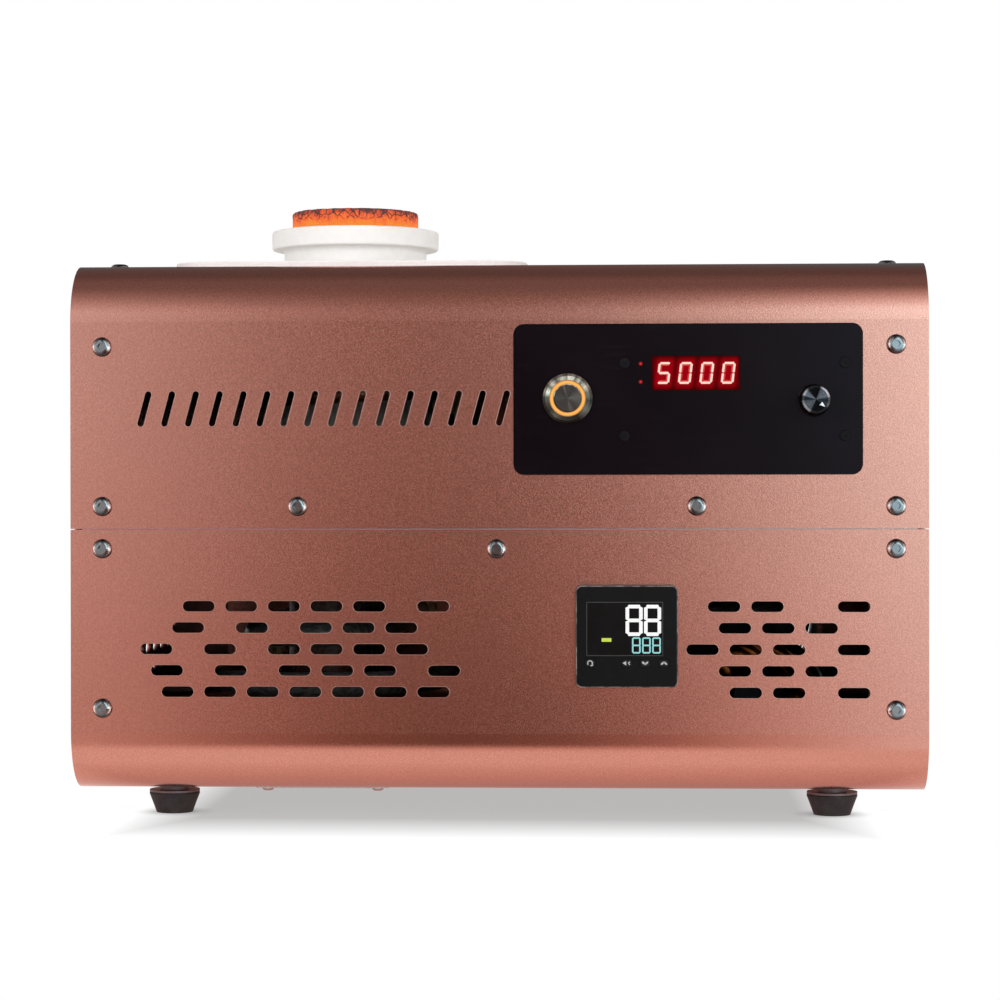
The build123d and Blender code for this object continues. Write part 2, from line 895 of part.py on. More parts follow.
def liner_support_block():
    brick = post(brick_radius, crucible_x, crucible_depth, shelf_top, liner_low)
    return brick - post(probe_radius + hole_gap, crucible_x, crucible_depth, shelf_top, liner_low)


def thermocouple():
    collar_low = shelf_low - probe_collar_height
    probe = post(probe_radius, crucible_x, crucible_depth, collar_low - probe_tail_length, liner_low)
    return probe + post(probe_collar_radius, crucible_x, crucible_depth, collar_low, shelf_low)


# ---- coil, terminals, capacitors ----
def induction_coil():
    """Four and a half turns of copper tube with two straight leads to the back."""
    helix = Helix(coil_pitch, coil_pitch * coil_turns, coil_radius)
    helix = Pos(crucible_x, crucible_y, coil_low) * Rot(0, 0, 180) * helix
    section = Circle(coil_tube_radius) - Circle(coil_tube_bore)
    start = Plane(origin=helix @ 0, z_dir=helix % 0)
    end = Plane(origin=helix @ 1, z_dir=helix % 1)
    coil = sweep(start * section, path=helix, is_frenet=True)
    coil += extrude(start * section, amount=-coil_lead_length)
    coil += extrude(end * section, amount=coil_lead_length)
    return coil


def lead_bore(x, height, slope):
    """Socket along the axis of one coil lead."""
    axis = Pos(x, front + terminal_near, height) * Rot(slope, 0, 0)
    return axis * Rot(-90, 0, 0) * Cylinder(coil_tube_radius + 2 * run_gap, 2 * terminal_socket + 2)


def terminal(x, height, slope):
    half = terminal_width / 2
    body = block(x - half, x + half, terminal_near, terminal_far, terminal_low, height + terminal_cover)
    body -= lead_bore(x, height - tan(radians(slope)) * terminal_socket, slope)
    body += rod(stub_radius, x, height, terminal_far, terminal_far + stub_length)
    return body - rod(stub_bore, x, height, terminal_near + terminal_socket + 1, terminal_far + stub_length)


def coil_terminals():
    return group([
        terminal(inlet_x, inlet_height, -coil_slope),
        terminal(outlet_x, outlet_height, coil_slope),
    ])


def resonant_capacitors():
    centre = terminal_near + terminal_depth / 2
    half = capacitor_width / 2
    near, far = centre - capacitor_depth / 2, centre + capacitor_depth / 2
    cases = [block(x - half, x + half, near, far, shelf_top, terminal_low) for x in (inlet_x, outlet_x)]
    return group([fillet(case.edges().filter_by(Axis.Z), capacitor_corner) for case in cases])


def output_transformer():
    x = transformer_x
    height = floor_inside + cradle_height - cradle_sink + transformer_major + transformer_minor
    place = Pos(x, front + transformer_depth, height) * Rot(90, 0, 0)
    half = cradle_width / 2
    near, far = transformer_depth - cradle_depth / 2, transformer_depth + cradle_depth / 2
    cradle = block(x - half, x + half, near, far, floor_inside, floor_inside + cradle_height)
    cradle -= place * Torus(transformer_major, transformer_minor + seat_gap)
    return group([place * Torus(transformer_major, transformer_minor), cradle])


# ---- cooling water ----
def hose(points, bends):
    path = FilletPolyline(*[(x, front + depth, z) for x, depth, z in points], radius=bends)
    section = Circle(hose_radius) - Circle(stub_radius + run_gap)
    return sweep(Plane(origin=path @ 0, z_dir=path % 0) * section, path=path)


def water_inlet_hose():
    return hose(
        [
            (inlet_x, hose_start, inlet_height),
            (inlet_x, hose_rear_depth, inlet_height),
            (inlet_x, hose_rear_depth, inlet_run),
            (inlet_x, inlet_front_depth, inlet_run),
            (inlet_return_x, inlet_front_depth, inlet_run),
            (inlet_return_x, hose_end, inlet_run),
        ],
        [hose_bend, hose_lower_bend, inlet_loop_bend, inlet_loop_bend],
    )


def water_outlet_hose():
    return hose(
        [
            (outlet_x, hose_start, outlet_height),
            (outlet_x, hose_rear_depth, outlet_height),
            (outlet_x, hose_rear_depth, outlet_run),
            (outlet_x, outlet_front_depth, outlet_run),
            (outlet_return_x, outlet_front_depth, outlet_run),
            (outlet_return_x, hose_end, outlet_run),
        ],
        [hose_bend, hose_lower_bend, outlet_loop_bend, outlet_loop_bend],
    )


def water_fittings():
    fittings = []
    inside = inner_back - fitting_thread_length
    for x, z in fitting_places:
        body = rod(fitting_thread_radius, x, z, inside, case_depth)
        collar_far = case_depth + fitting_collar_length
        body += front_prism(Pos(x, z) * RegularPolygon(fitting_collar_radius, 6), case_depth, collar_far)
        body += rod(fitting_pipe_radius, x, z, collar_far, case_depth + rear_reach)
        body += rod(stub_radius, x, z, inside - stub_length, inside)
        fittings.append(body - rod(stub_bore, x, z, inside - stub_length, case_depth + rear_reach))
    return group(fittings)


# ---- mains inlet ----
def cable_gland():
    inside = inner_back - gland_thread_length
    body = rod(gland_thread_radius, gland_x, gland_z, inside, case_depth)
    hexagon = Pos(gland_x, gland_z) * RegularPolygon(gland_hex_radius, 6)
    body += front_prism(hexagon, case_depth, case_depth + gland_hex_length)
    far = case_depth + gland_hex_length + gland_dome_length
    dome = rod(gland_dome_radius, gland_x, gland_z, case_depth + gland_hex_length, far)
    dome = fillet(dome.edges().group_by(Axis.Y)[-1], gland_dome_edge)
    return body + dome - rod(gland_bore, gland_x, gland_z, inside, far)


def rear_fitting_nuts():
    nuts = []
    sizes = [(x, z, fitting_thread_radius, fitting_nut_radius, fitting_nut_height) for x, z in fitting_places]
    sizes.append((gland_x, gland_z, gland_thread_radius, gland_nut_radius, gland_nut_height))
    for x, z, bore, radius, height in sizes:
        ring = Pos(x, z) * (RegularPolygon(radius, 6) - Circle(bore + run_gap))
        nuts.append(front_prism(ring, inner_back - height, inner_back))
    return group(nuts)


def breaker_body():
    half = breaker_width / 2
    body = block(
        breaker_x - half, breaker_x + half, inner_back - breaker_body_depth, inner_back,
        breaker_z - breaker_body_height / 2, breaker_z + breaker_body_height / 2,
    )
    neck_far = case_depth + breaker_neck_proud
    body += block(
        breaker_x - half, breaker_x + half, inner_back, neck_far,
        breaker_z - breaker_neck_height / 2, breaker_z + breaker_neck_height / 2,
    )
    slot = lever_width / 2 + seat_gap
    hub = Pos(lever_y, breaker_z) * Circle(lever_hub_radius + seat_gap)
    body -= side_prism(hub, breaker_x - slot, breaker_x + slot)
    return body - block(
        breaker_x - slot, breaker_x + slot, lever_y - front, neck_far + 1,
        breaker_z - lever_slot_half_height, breaker_z + lever_slot_half_height,
    )


def breaker_lever():
    handle = Pos(lever_reach / 2, 0) * RectangleRounded(lever_reach, lever_thickness, lever_corner)
    outline = Circle(lever_hub_radius) + Rot(0, 0, lever_angle) * handle
    half = lever_width / 2
    return side_prism(Pos(lever_y, breaker_z) * outline, breaker_x - half, breaker_x + half)


def contactor():
    half = contactor_width / 2
    near = contactor_depth - contactor_length / 2
    far = contactor_depth + contactor_length / 2
    roof = shelf_top + contactor_height
    step = shelf_top + contactor_step_height
    body = block(contactor_x - half, contactor_x + half, near, far, shelf_top, roof)
    for edge_near, edge_far in ((near, near + contactor_step_length), (far - contactor_step_length, far)):
        body -= block(contactor_x - half, contactor_x + half, edge_near, edge_far, step, roof)
    return body


# ---- fans ----
def fan_frame(x):
    half = fan_size / 2
    frame = block(x - half, x + half, fan_near, inner_back, fan_z - half, fan_z + half)
    frame = fillet(frame.edges().filter_by(Axis.Y), fan_corner)
    frame -= rod(fan_duct_radius, x, fan_z, fan_near, inner_back)
    frame += rod(fan_hub_radius, x, fan_z, fan_near, fan_hub_far)
    strut = Rectangle(2 * fan_duct_radius + 1, fan_strut_width)
    for angle in (45, 135):
        frame += front_prism(Pos(x, fan_z) * Rot(0, 0, angle) * strut, fan_near, fan_hub_far)
    bearing_far = fan_hub_far + fan_bearing_length
    frame += rod(fan_bearing_radius, x, fan_z, fan_near, bearing_far)
    frame -= rod(fan_shaft_radius + run_gap, x, fan_z, fan_near + fan_bearing_floor, bearing_far)
    tapped = copies(fan_corners(), Circle(fan_screw_radius + run_gap))
    return frame - front_prism(tapped, fan_near, inner_back)


def fan_rotor(x):
    rotor = rod(fan_rotor_radius, x, fan_z, rotor_near, rotor_far)
    rotor = fillet(rotor.edges().group_by(Axis.Y)[-1], fan_rotor_edge)
    blade = Box(fan_blade_reach, fan_blade_thickness, fan_blade_chord)
    for number in range(fan_blade_count):
        turn = Pos(x, front + (rotor_near + rotor_far) / 2, fan_z) * Rot(0, number * 360 / fan_blade_count, 0)
        rotor += turn * Pos(fan_blade_reach / 2, 0, 0) * Rot(90 - fan_blade_pitch, 0, 0) * blade
    rotor &= rod(fan_blade_reach, x, fan_z, rotor_near, rotor_far)
    rotor -= rod(fan_rotor_radius - fan_cup_wall, x, fan_z, rotor_near, rotor_far - fan_cup_wall)
    shaft_near = fan_near + fan_bearing_floor + fan_shaft_gap
    return rotor + rod(fan_shaft_radius, x, fan_z, shaft_near, rotor_far - fan_cup_wall)


def fan_guards():
    guards = []
    bar_depth = case_depth + guard_wire + seat_gap
    ring_depth = bar_depth + guard_ring_lift
    half = fan_screw_spacing / 2
    for x in fan_xs:
        guard = Part()
        for angle in (45, 135):
            bar = Cylinder(guard_wire, 2 * sqrt(2) * half)
            guard += Pos(x, front + bar_depth, fan_z) * Rot(0, angle, 0) * bar
        for radius in guard_rings:
            guard += Pos(x, front + ring_depth, fan_z) * Rot(90, 0, 0) * Torus(radius, guard_wire)
        corners = [(x + sx * half, fan_z + sz * half) for sx in (-1, 1) for sz in (-1, 1)]
        eyes = copies(corners, Circle(guard_eye_radius))
        guard += front_prism(eyes, case_depth, case_depth + guard_eye_thickness)
        holes = copies(fan_corners(), Circle(fan_screw_radius + hole_gap))
        guards.append(guard - front_prism(holes, case_depth - 1, case_depth + 3 * guard_wire))
    return group(guards)


def fan_screws():
    screw = button_screw(
        fan_screw_radius, fan_screw_head_radius, fan_screw_head_height, fan_socket_radius, fan_screw_length
    )
    seat = case_depth + 2 * guard_wire + seat_gap
    return group([facing_back(screw, x, z, seat) for x, z in fan_corners()])


# ---- control panel ----
def control_panel():
    outline = Pos(panel_x, panel_z) * RectangleRounded(panel_width, panel_height, panel_corner)
    panel = front_prism(outline, panel_front, 0)
    panel = chamfer(panel.faces().sort_by(Axis.Y)[0].edges(), panel_edge)
    window = Pos(display_x, display_z) * Rectangle(display_width, display_height)
    panel -= front_prism(window, panel_front, 0)
    panel -= rod(button_barrel_radius + hole_gap, button_x, button_z, panel_front, 0)
    panel -= rod(pot_bush_radius + hole_gap, knob_x, knob_z, panel_front, 0)
    panel -= front_prism(copies(board_screw_places, Circle(board_screw_radius + hole_gap)), panel_front, 0)
    return panel - front_prism(copies(indicator_places, Circle(indicator_radius + run_gap)), panel_front, 0)


def control_panel_screws():
    length = board_far + board_nut_height + board_screw_spare - panel_front
    screw = button_screw(
        board_screw_radius, board_screw_head_radius, board_screw_head_height, board_socket_radius, length
    )
    pieces = [facing_front(screw, x, z, panel_front) for x, z in board_screw_places]
    nut = RegularPolygon(board_nut_radius, 6) - Circle(board_screw_radius + run_gap)
    nut = front_prism(nut, board_far, board_far + board_nut_height)
    pieces += [Pos(x, 0, z) * nut for x, z in board_screw_places]
    return group(pieces)


def board_standoffs():
    tube = RegularPolygon(standoff_radius, 6) - Circle(board_screw_radius + run_gap)
    return group([front_prism(Pos(x, z) * tube, sheet, board_near) for x, z in board_screw_places])


def control_board():
    xs = [x for x, z in board_screw_places]
    zs = [z for x, z in board_screw_places]
    board = block(
        min(xs) - board_margin, max(xs) + board_margin, board_near, board_far,
        min(zs) - board_margin, max(zs) + board_margin,
    )
    holes = copies(board_screw_places, Circle(board_screw_radius + run_gap))
    board -= front_prism(holes, board_near, board_far)
    return board - rod(pot_body_radius + pot_board_gap, knob_x, knob_z, board_near, board_far)


def display_module():
    place = Pos(display_x, display_z)
    face = Rectangle(display_width - 2 * hole_gap, display_height - 2 * hole_gap)
    socket = Rectangle(display_width - 2 * display_socket_margin, display_height - 2 * display_socket_margin)
    module = front_prism(place * face, panel_front + display_sink, display_body_depth)
    return module + front_prism(place * socket, display_body_depth, board_near)


def indicator_leds():
    leds = []
    for x, z in indicator_places:
        led = rod(indicator_radius, x, z, panel_front + indicator_sink, board_near)
        leds.append(led + rod(indicator_radius + indicator_collar, x, z, sheet + seat_gap, board_near))
    return group(leds)


# ---- push button ----
def power_switch_body():
    head = rod(button_head_radius, button_x, button_z, button_face, panel_front)
    head = chamfer(head.edges().group_by(Axis.Y)[0], button_head_chamfer)
    barrel_far = panel_front + button_barrel_length
    body = head + rod(button_barrel_radius, button_x, button_z, panel_front, barrel_far)
    body += rod(button_tail_radius, button_x, button_z, barrel_far, barrel_far + button_tail_length)
    well_far = button_face + button_cap_length + button_travel
    body -= rod(button_cap_radius + run_gap, button_x, button_z, button_face, well_far)
    ring = Pos(button_x, button_z) * (Circle(button_ring_outer) - Circle(button_ring_inner))
    return body - front_prism(ring, button_face, button_face + button_ring_depth)


def power_switch_ring():
    ring = Circle(button_ring_outer - run_gap) - Circle(button_ring_inner + run_gap)
    return front_prism(Pos(button_x, button_z) * ring, button_face, button_face + button_ring_depth)


def power_switch_cap():
    near = button_face - button_cap_proud
    cap = rod(button_cap_radius, button_x, button_z, near, near + button_cap_length)
    return fillet(cap.edges().group_by(Axis.Y)[0], button_cap_edge)


def power_switch_nut():
    nut = RegularPolygon(button_nut_radius, 6) - Circle(button_barrel_radius + run_gap)
    return front_prism(Pos(button_x, button_z) * nut, sheet, sheet + button_nut_height)


# ---- power knob ----
def power_knob():
    body = Cone(knob_base_radius, knob_face_radius, knob_length)
    knob = facing_front(body, knob_x, knob_z, (knob_near + knob_face) / 2)
    knob = chamfer(knob.edges().group_by(Axis.Y)[0], knob_edge)
    knob -= rod(knob_recess_radius, knob_x, knob_z, knob_near - knob_recess_depth, knob_near)
    knob -= rod(pot_shaft_radius, knob_x, knob_z, pot_shaft_near, knob_near)
    mark = Pos(0, knob_face_radius - knob_mark_inset) * Rectangle(knob_mark_width, knob_mark_length)
    mark = Pos(knob_x, knob_z) * Rot(0, 0, -knob_mark_angle) * mark
    return knob - front_prism(mark, knob_face, knob_face + knob_mark_depth)


def potentiometer_shaft():
    return rod(pot_shaft_radius, knob_x, knob_z, pot_shaft_near, sheet + pot_shaft_in_body)


def potentiometer_body():
    bush_near = panel_front - pot_nut_height
    body = rod(pot_body_radius, knob_x, knob_z, sheet, sheet + pot_body_depth)
    body += rod(pot_bush_radius, knob_x, knob_z, bush_near, sheet)
    bore_far = sheet + pot_shaft_in_body + pot_shaft_spare
    body -= rod(pot_shaft_radius + run_gap, knob_x, knob_z, bush_near, bore_far)
    nut = RegularPolygon(pot_nut_radius, 6) - Circle(pot_bush_radius + run_gap)
    return group([body, front_prism(Pos(knob_x, knob_z) * nut, bush_near, panel_front)])


# ---- temperature controller ----
window_place = Pos(controller_x + window_offset_x, controller_z + window_offset_z)


def controller_housing():
    place = Pos(controller_x, controller_z)
    outline = place * RectangleRounded(controller_bezel, controller_bezel, controller_corner)
    bezel = front_prism(outline, controller_face, 0)
    bezel = fillet(bezel.faces().sort_by(Axis.Y)[0].edges(), controller_edge)
    body = Rectangle(controller_body, controller_body)
    inner = controller_body - 2 * controller_wall
    housing = bezel + front_prism(place * body, 0, controller_body_depth)
    inner_far = controller_body_depth - controller_wall
    housing -= front_prism(place * Rectangle(inner, inner), key_inner, inner_far)
    recess = Rectangle(window_width + 2 * seat_gap, window_height + 2 * seat_gap)
    housing -= front_prism(window_place * recess, controller_face, controller_face + window_thickness)
    keys = [(controller_x + x, key_z) for x in key_offsets_x]
    hole = Rectangle(key_width + 2 * hole_gap, key_height + 2 * hole_gap)
    return housing - front_prism(copies(keys, hole), controller_face, key_inner)


def controller_window():
    glass = Rectangle(window_width, window_height)
    return front_prism(window_place * glass, controller_face, controller_face + window_thickness)


def controller_key(offset_x):
    place = Pos(controller_x + offset_x, key_z)
    near = controller_face - key_proud
    far = key_inner + run_gap
    cap = front_prism(place * RectangleRounded(key_width, key_height, key_corner), near, far)
    cap = fillet(cap.faces().sort_by(Axis.Y)[0].edges(), key_edge)
    flange = Rectangle(key_width + 2 * key_flange, key_height + 2 * key_flange)
    return cap + front_prism(place * flange, far, far + key_flange_thickness)


def controller_clamp():
    ring = Rectangle(clamp_width, clamp_width) - Rectangle(
        controller_body + 2 * seat_gap, controller_body + 2 * seat_gap
    )
    return front_prism(Pos(controller_x, controller_z) * ring, sheet, sheet + clamp_thickness)


# ---- inverter ----
def heat_sink():
    near, far = sink_near, sink_near + sink_length
    base_low = sink_top - sink_base
    sink = block(sink_low, sink_low + sink_width, near, far, base_low, sink_top)
    pitch = (sink_width - sink_fin_thickness) / (sink_fin_count - 1)
    for number in range(sink_fin_count):
        x = sink_low + number * pitch
        sink += block(x, x + sink_fin_thickness, near, far, floor_inside, base_low)
    return sink


def power_modules():
    half, half_width = module_length / 2, module_width / 2
    modules = []
    for sign in (-1, 1):
        depth = sink_depth + sign * module_spacing / 2
        near, far = depth - half_width, depth + half_width
        body = block(sink_x - half, sink_x + half, near, far, sink_top, board_level)
        modules.append(chamfer(body.edges().filter_by(Axis.Z), module_corner))
    return group(modules)


def inverter_board():
    half, half_length = inverter_board_width / 2, inverter_board_length / 2
    return block(
        sink_x - half, sink_x + half, sink_depth - half_length, sink_depth + half_length,
        board_level, board_level + board_thickness,
    )


def bus_capacitors():
    can_top = floor_inside + can_height
    cans = [post(can_radius, can_x, depth, floor_inside, can_top) for depth in can_depths]
    return group([fillet(can.edges().group_by(Axis.Z)[-1], can_edge) for can in cans])


pieces = {
    "upper_shell": upper_shell,
    "lower_shell": lower_shell,
    "right_side_panel": right_side_panel,
    "left_side_panel": lambda: mirror(right_side_panel(), about=Plane.YZ),
    "chassis_shelf": chassis_shelf,
    "shell_screws": shell_screws,
    "bottom_service_plate": bottom_service_plate,
    "service_plate_screws": service_plate_screws,
    "rubber_feet": rubber_feet,
    "foot_washers": foot_washers,
    "foot_screws": foot_screws,
    "top_insulation_plate": top_insulation_plate,
    "insulation_plate_screws": insulation_plate_screws,
    "crucible_liner": crucible_liner,
    "graphite_crucible": graphite_crucible,
    "coil_sleeve": coil_sleeve,
    "induction_coil": induction_coil,
    "liner_support_block": liner_support_block,
    "thermocouple": thermocouple,
    "coil_terminals": coil_terminals,
    "resonant_capacitors": resonant_capacitors,
    "output_transformer": output_transformer,
    "water_inlet_hose": water_inlet_hose,
    "water_outlet_hose": water_outlet_hose,
    "water_fittings": water_fittings,
    "cable_gland": cable_gland,
    "rear_fitting_nuts": rear_fitting_nuts,
    "breaker_body": breaker_body,
    "breaker_lever": breaker_lever,
    "contactor": contactor,
    "left_fan_frame": lambda: fan_frame(fan_xs[0]),
    "right_fan_frame": lambda: fan_frame(fan_xs[1]),
    "left_fan_rotor": lambda: fan_rotor(fan_xs[0]),
    "right_fan_rotor": lambda: fan_rotor(fan_xs[1]),
    "fan_guards": fan_guards,
    "fan_screws": fan_screws,
    "control_panel": control_panel,
    "control_panel_screws": control_panel_screws,
    "board_standoffs": board_standoffs,
    "control_board": control_board,
    "display_module": display_module,
    "indicator_leds": indicator_leds,
    "power_switch_body": power_switch_body,
    "power_switch_ring": power_switch_ring,
    "power_switch_cap": power_switch_cap,
    "power_switch_nut": power_switch_nut,
    "power_knob": power_knob,
    "potentiometer_shaft": potentiometer_shaft,
    "potentiometer_body": potentiometer_body,
    "controller_housing": controller_housing,
    "controller_window": controller_window,
    "menu_key": lambda: controller_key(key_offsets_x[0]),
    "shift_key": lambda: controller_key(key_offsets_x[1]),
    "down_key": lambda: controller_key(key_offsets_x[2]),
    "up_key": lambda: controller_key(key_offsets_x[3]),
    "controller_clamp": controller_clamp,
    "heat_sink": heat_sink,
    "power_modules": power_modules,
    "inverter_board": inverter_board,
    "bus_capacitors": bus_capacitors,
}

os.makedirs("parts", exist_ok=True)
for name, make in pieces.items():
    export_step(make(), f"parts/{name}.step")
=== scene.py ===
"""Finishes, displays, crucible and studio for the tabletop gold melting furnace.

All places are in metres in the furnace's own frame: X to the right, Y to the back, Z up, floor at 0.
"""

from math import cos, pi, radians, sin

import bmesh
import bpy
from mathutils import Matrix, Vector


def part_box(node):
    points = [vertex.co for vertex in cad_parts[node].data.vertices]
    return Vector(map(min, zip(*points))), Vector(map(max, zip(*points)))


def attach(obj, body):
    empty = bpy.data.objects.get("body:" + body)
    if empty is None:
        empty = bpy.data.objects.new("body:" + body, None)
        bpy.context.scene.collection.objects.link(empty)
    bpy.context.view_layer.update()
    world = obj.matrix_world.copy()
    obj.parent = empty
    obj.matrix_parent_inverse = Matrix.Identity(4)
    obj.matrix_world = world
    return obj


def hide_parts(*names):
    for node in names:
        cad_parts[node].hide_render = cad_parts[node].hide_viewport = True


bl_info = {
    "name": "Gold Melting Furnace",
    "version": (1, 0, 0),
    "blender": (4, 5, 0),
    "location": "3D View > Sidebar > Furnace",
    "description": "Dresses the furnace's frame with its finishes, displays, crucible and studio",
    "category": "Object",
}

MM = 0.001
NEAR = 0.01 * MM   # points closer than this lie in the same place
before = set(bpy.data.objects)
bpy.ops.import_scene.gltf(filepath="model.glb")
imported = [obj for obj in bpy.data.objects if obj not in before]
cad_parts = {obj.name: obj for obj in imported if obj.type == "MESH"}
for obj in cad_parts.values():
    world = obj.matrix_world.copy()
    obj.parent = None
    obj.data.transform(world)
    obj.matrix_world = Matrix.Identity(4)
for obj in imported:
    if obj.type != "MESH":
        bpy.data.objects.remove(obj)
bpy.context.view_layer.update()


def middle(node):
    low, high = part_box(node)
    return (low + high) / 2


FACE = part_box("upper_shell")[0].y
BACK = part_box("upper_shell")[1].y
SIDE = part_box("right_side_panel")[1].x
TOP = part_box("upper_shell")[1].z
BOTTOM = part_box("lower_shell")[0].z
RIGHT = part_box("upper_shell")[1].x
FEET_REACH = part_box("rubber_feet")[1].x
BUTTON = middle("power_switch_ring")
KNOB = middle("power_knob")
DISPLAY = middle("display_module")
WINDOW = middle("controller_window")
CRUCIBLE = middle("graphite_crucible")
CRUCIBLE_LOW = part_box("graphite_crucible")[0].z
CRUCIBLE_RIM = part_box("graphite_crucible")[1].z
LINER_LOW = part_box("crucible_liner")[0].z
LINER_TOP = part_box("crucible_liner")[1].z


# ---- settings ----
def colour_setting(name, description, value):
    return bpy.props.FloatVectorProperty(
        name=name, description=description, default=value, subtype="COLOR", size=3, min=0, max=1
    )


def length_setting(name, description, millimetres):
    return bpy.props.FloatProperty(
        name=name, description=description, default=millimetres * MM, min=0, subtype="DISTANCE", unit="LENGTH"
    )


def power_setting(name, description, watts):
    return bpy.props.FloatProperty(
        name=name, description=description, default=watts, min=0, subtype="POWER", unit="POWER"
    )


class FurnaceColours(bpy.types.PropertyGroup):
    """Colours of the furnace."""

    case: colour_setting("Case", "Tint of the anodised case", (0.68, 0.3, 0.225))
    case_edge: colour_setting("Cut edges", "Bare edges of the case's cut-outs", (0.66, 0.34, 0.27))
    panel: colour_setting("Control panel", "Polished black panel", (0.0038, 0.0024, 0.0036))
    glow_hot: colour_setting("Hottest glow", "Crucible wall at its hottest", (1.0, 0.27, 0.015))
    glow_warm: colour_setting("Warm glow", "Crucible wall as it cools", (0.8, 0.09, 0.018))
    glow_dull: colour_setting("Dull glow", "Scale and soot on the crucible", (0.2, 0.035, 0.02))
    ring_light: colour_setting("Ring light", "Ring round the power switch", (1.0, 0.3, 0.03))
    digits: colour_setting("Power digits", "Lit bars of the power display", (1.0, 0.72, 0.6))
    digit_halo: colour_setting("Power digit halo", "Red light round the lit bars", (0.95, 0.03, 0.015))
    filter: colour_setting("Display filter", "Red filter over the power display", (0.31, 0.0, 0.004))
    reading: colour_setting("Reading digits", "Large digits of the controller", (1.0, 1.0, 1.0))
    target: colour_setting("Target digits", "Small digits of the controller", (0.29, 0.7, 0.7))
    bar: colour_setting("Output bar", "Bar of the controller", (0.6, 0.72, 0.05))
    marks: colour_setting("Key marks", "Marks printed on the keys", (0.38, 0.38, 0.38))


class FurnaceSizes(bpy.types.PropertyGroup):
    """Sizes of what the frame doesn't hold."""

    lip: length_setting("Slot lip", "Thickness of the rounded lip round each slot", 0.3)
    digit_height: length_setting("Power digit height", "Height of the power display's digits", 10.1)
    digit_width: length_setting("Power digit width", "Width of one digit", 5.9)
    digit_pitch: length_setting("Power digit pitch", "From one digit to the next", 9.9)
    digit_stroke: length_setting("Power digit stroke", "Width of a lit bar", 1.0)
    digit_lean: bpy.props.FloatProperty(
        name="Power digit lean", description="Slant of the digits", default=radians(7), subtype="ANGLE"
    )
    reading_height: length_setting("Reading height", "Height of the controller's large digits", 14.4)
    reading_width: length_setting("Reading width", "Width of a large digit", 7.9)
    reading_pitch: length_setting("Reading pitch", "From one large digit to the next", 8.5)
    reading_stroke: length_setting("Reading stroke", "Width of a large digit's bars", 1.65)
    target_height: length_setting("Target height", "Height of the controller's small digits", 7.5)
    target_width: length_setting("Target width", "Width of a small digit", 4.0)
    target_pitch: length_setting("Target pitch", "From one small digit to the next", 4.65)
    target_stroke: length_setting("Target stroke", "Width of a small digit's bars", 0.7)
    rim_scale: length_setting("Crucible scale", "How rough the crucible's wall is", 0.5)
    liner_unevenness: length_setting("Liner unevenness", "How uneven the cast liner is", 0.18)


class StudioSettings(bpy.types.PropertyGroup):
    """Camera and lamps."""

    lens: bpy.props.FloatProperty(name="Lens", description="Focal length", default=98.88, min=10)
    lamp: power_setting("Lamps", "Power of each front lamp", 23)
    top_lamp: power_setting("Top lamp", "Power of the lamp above", 20)
    fill: bpy.props.FloatProperty(name="Fill", description="Light from all round", default=0.45, min=0)


def colours():
    return bpy.context.scene.furnace_colours


def sizes():
    return bpy.context.scene.furnace_sizes


def studio():
    return bpy.context.scene.furnace_studio


# ---- modelling helpers ----
def start_fresh(*pieces):
    """Back to object mode with only these pieces selected, the first of them active."""
    if bpy.context.object and bpy.context.object.mode != "OBJECT":
        bpy.ops.object.mode_set(mode="OBJECT")
    bpy.ops.object.select_all(action="DESELECT")
    for piece in reversed(pieces):
        piece.select_set(True)
        bpy.context.view_layer.objects.active = piece


def new_cylinder(radius, height, sides=96, turn=0.0, rise=0.0):
    """Upright cylinder or prism, open for editing. Its middle lies a rise above the origin."""
    start_fresh()
    bpy.ops.mesh.primitive_cylinder_add(
        vertices=sides, radius=radius, depth=height, location=(0, 0, rise), rotation=(0, 0, turn)
    )
    return open_for_edit()


def open_for_edit():
    """Fixes the new primitive's place in its mesh and opens it for editing."""
    bpy.ops.object.transform_apply(location=True, rotation=True, scale=True)
    bpy.ops.object.mode_set(mode="EDIT")
    return bpy.context.object


def choose(piece, kind, test):
    """Selects the faces, edges or vertices whose middle and normal pass the test."""
    bpy.ops.mesh.select_mode(type={"faces": "FACE", "edges": "EDGE", "verts": "VERT"}[kind])
    bpy.ops.mesh.select_all(action="DESELECT")
    mesh = bmesh.from_edit_mesh(piece.data)
    for item in getattr(mesh, kind):
        if kind == "faces":
            centre, normal = item.calc_center_median(), item.normal
        elif kind == "edges":
            centre, normal = (item.verts[0].co + item.verts[1].co) / 2, None
        else:
            centre, normal = item.co, item.normal
        if test(centre, normal):
            item.select_set(True)
    mesh.select_flush_mode()
    bmesh.update_edit_mesh(piece.data)


def facing_up(height):
    return lambda centre, normal: normal.z > 0.9 and abs(centre.z - height) < NEAR


def grow(move):
    bpy.ops.mesh.extrude_region_move(TRANSFORM_OT_translate={"value": move})


def scale_flat(factor):
    bpy.ops.transform.resize(value=(factor, factor, 1))


def shift(move):
    bpy.ops.transform.translate(value=move)


def part_ends(piece, reach):
    """Moves the vertices right and left of the middle outwards, each by reach."""
    choose(piece, "verts", lambda place, normal: place.x > NEAR)
    shift((reach, 0, 0))
    choose(piece, "verts", lambda place, normal: place.x < -NEAR)
    shift((-reach, 0, 0))


def close_edit():
    bpy.ops.object.mode_set(mode="OBJECT")
    return bpy.context.object


def apply_modifier(piece, kind, **settings):
    modifier = piece.modifiers.new(kind.title(), kind)
    for name, value in settings.items():
        setattr(modifier, name, value)
    start_fresh(piece)
    bpy.ops.object.modifier_apply(modifier=modifier.name)


def put(piece, place, turn=(0, 0, 0)):
    """Moves a piece modelled about the origin to its place, and keeps the place in its mesh."""
    piece.data.transform(Matrix.Translation(place) @ Matrix.LocRotScale(None, euler(turn), None))


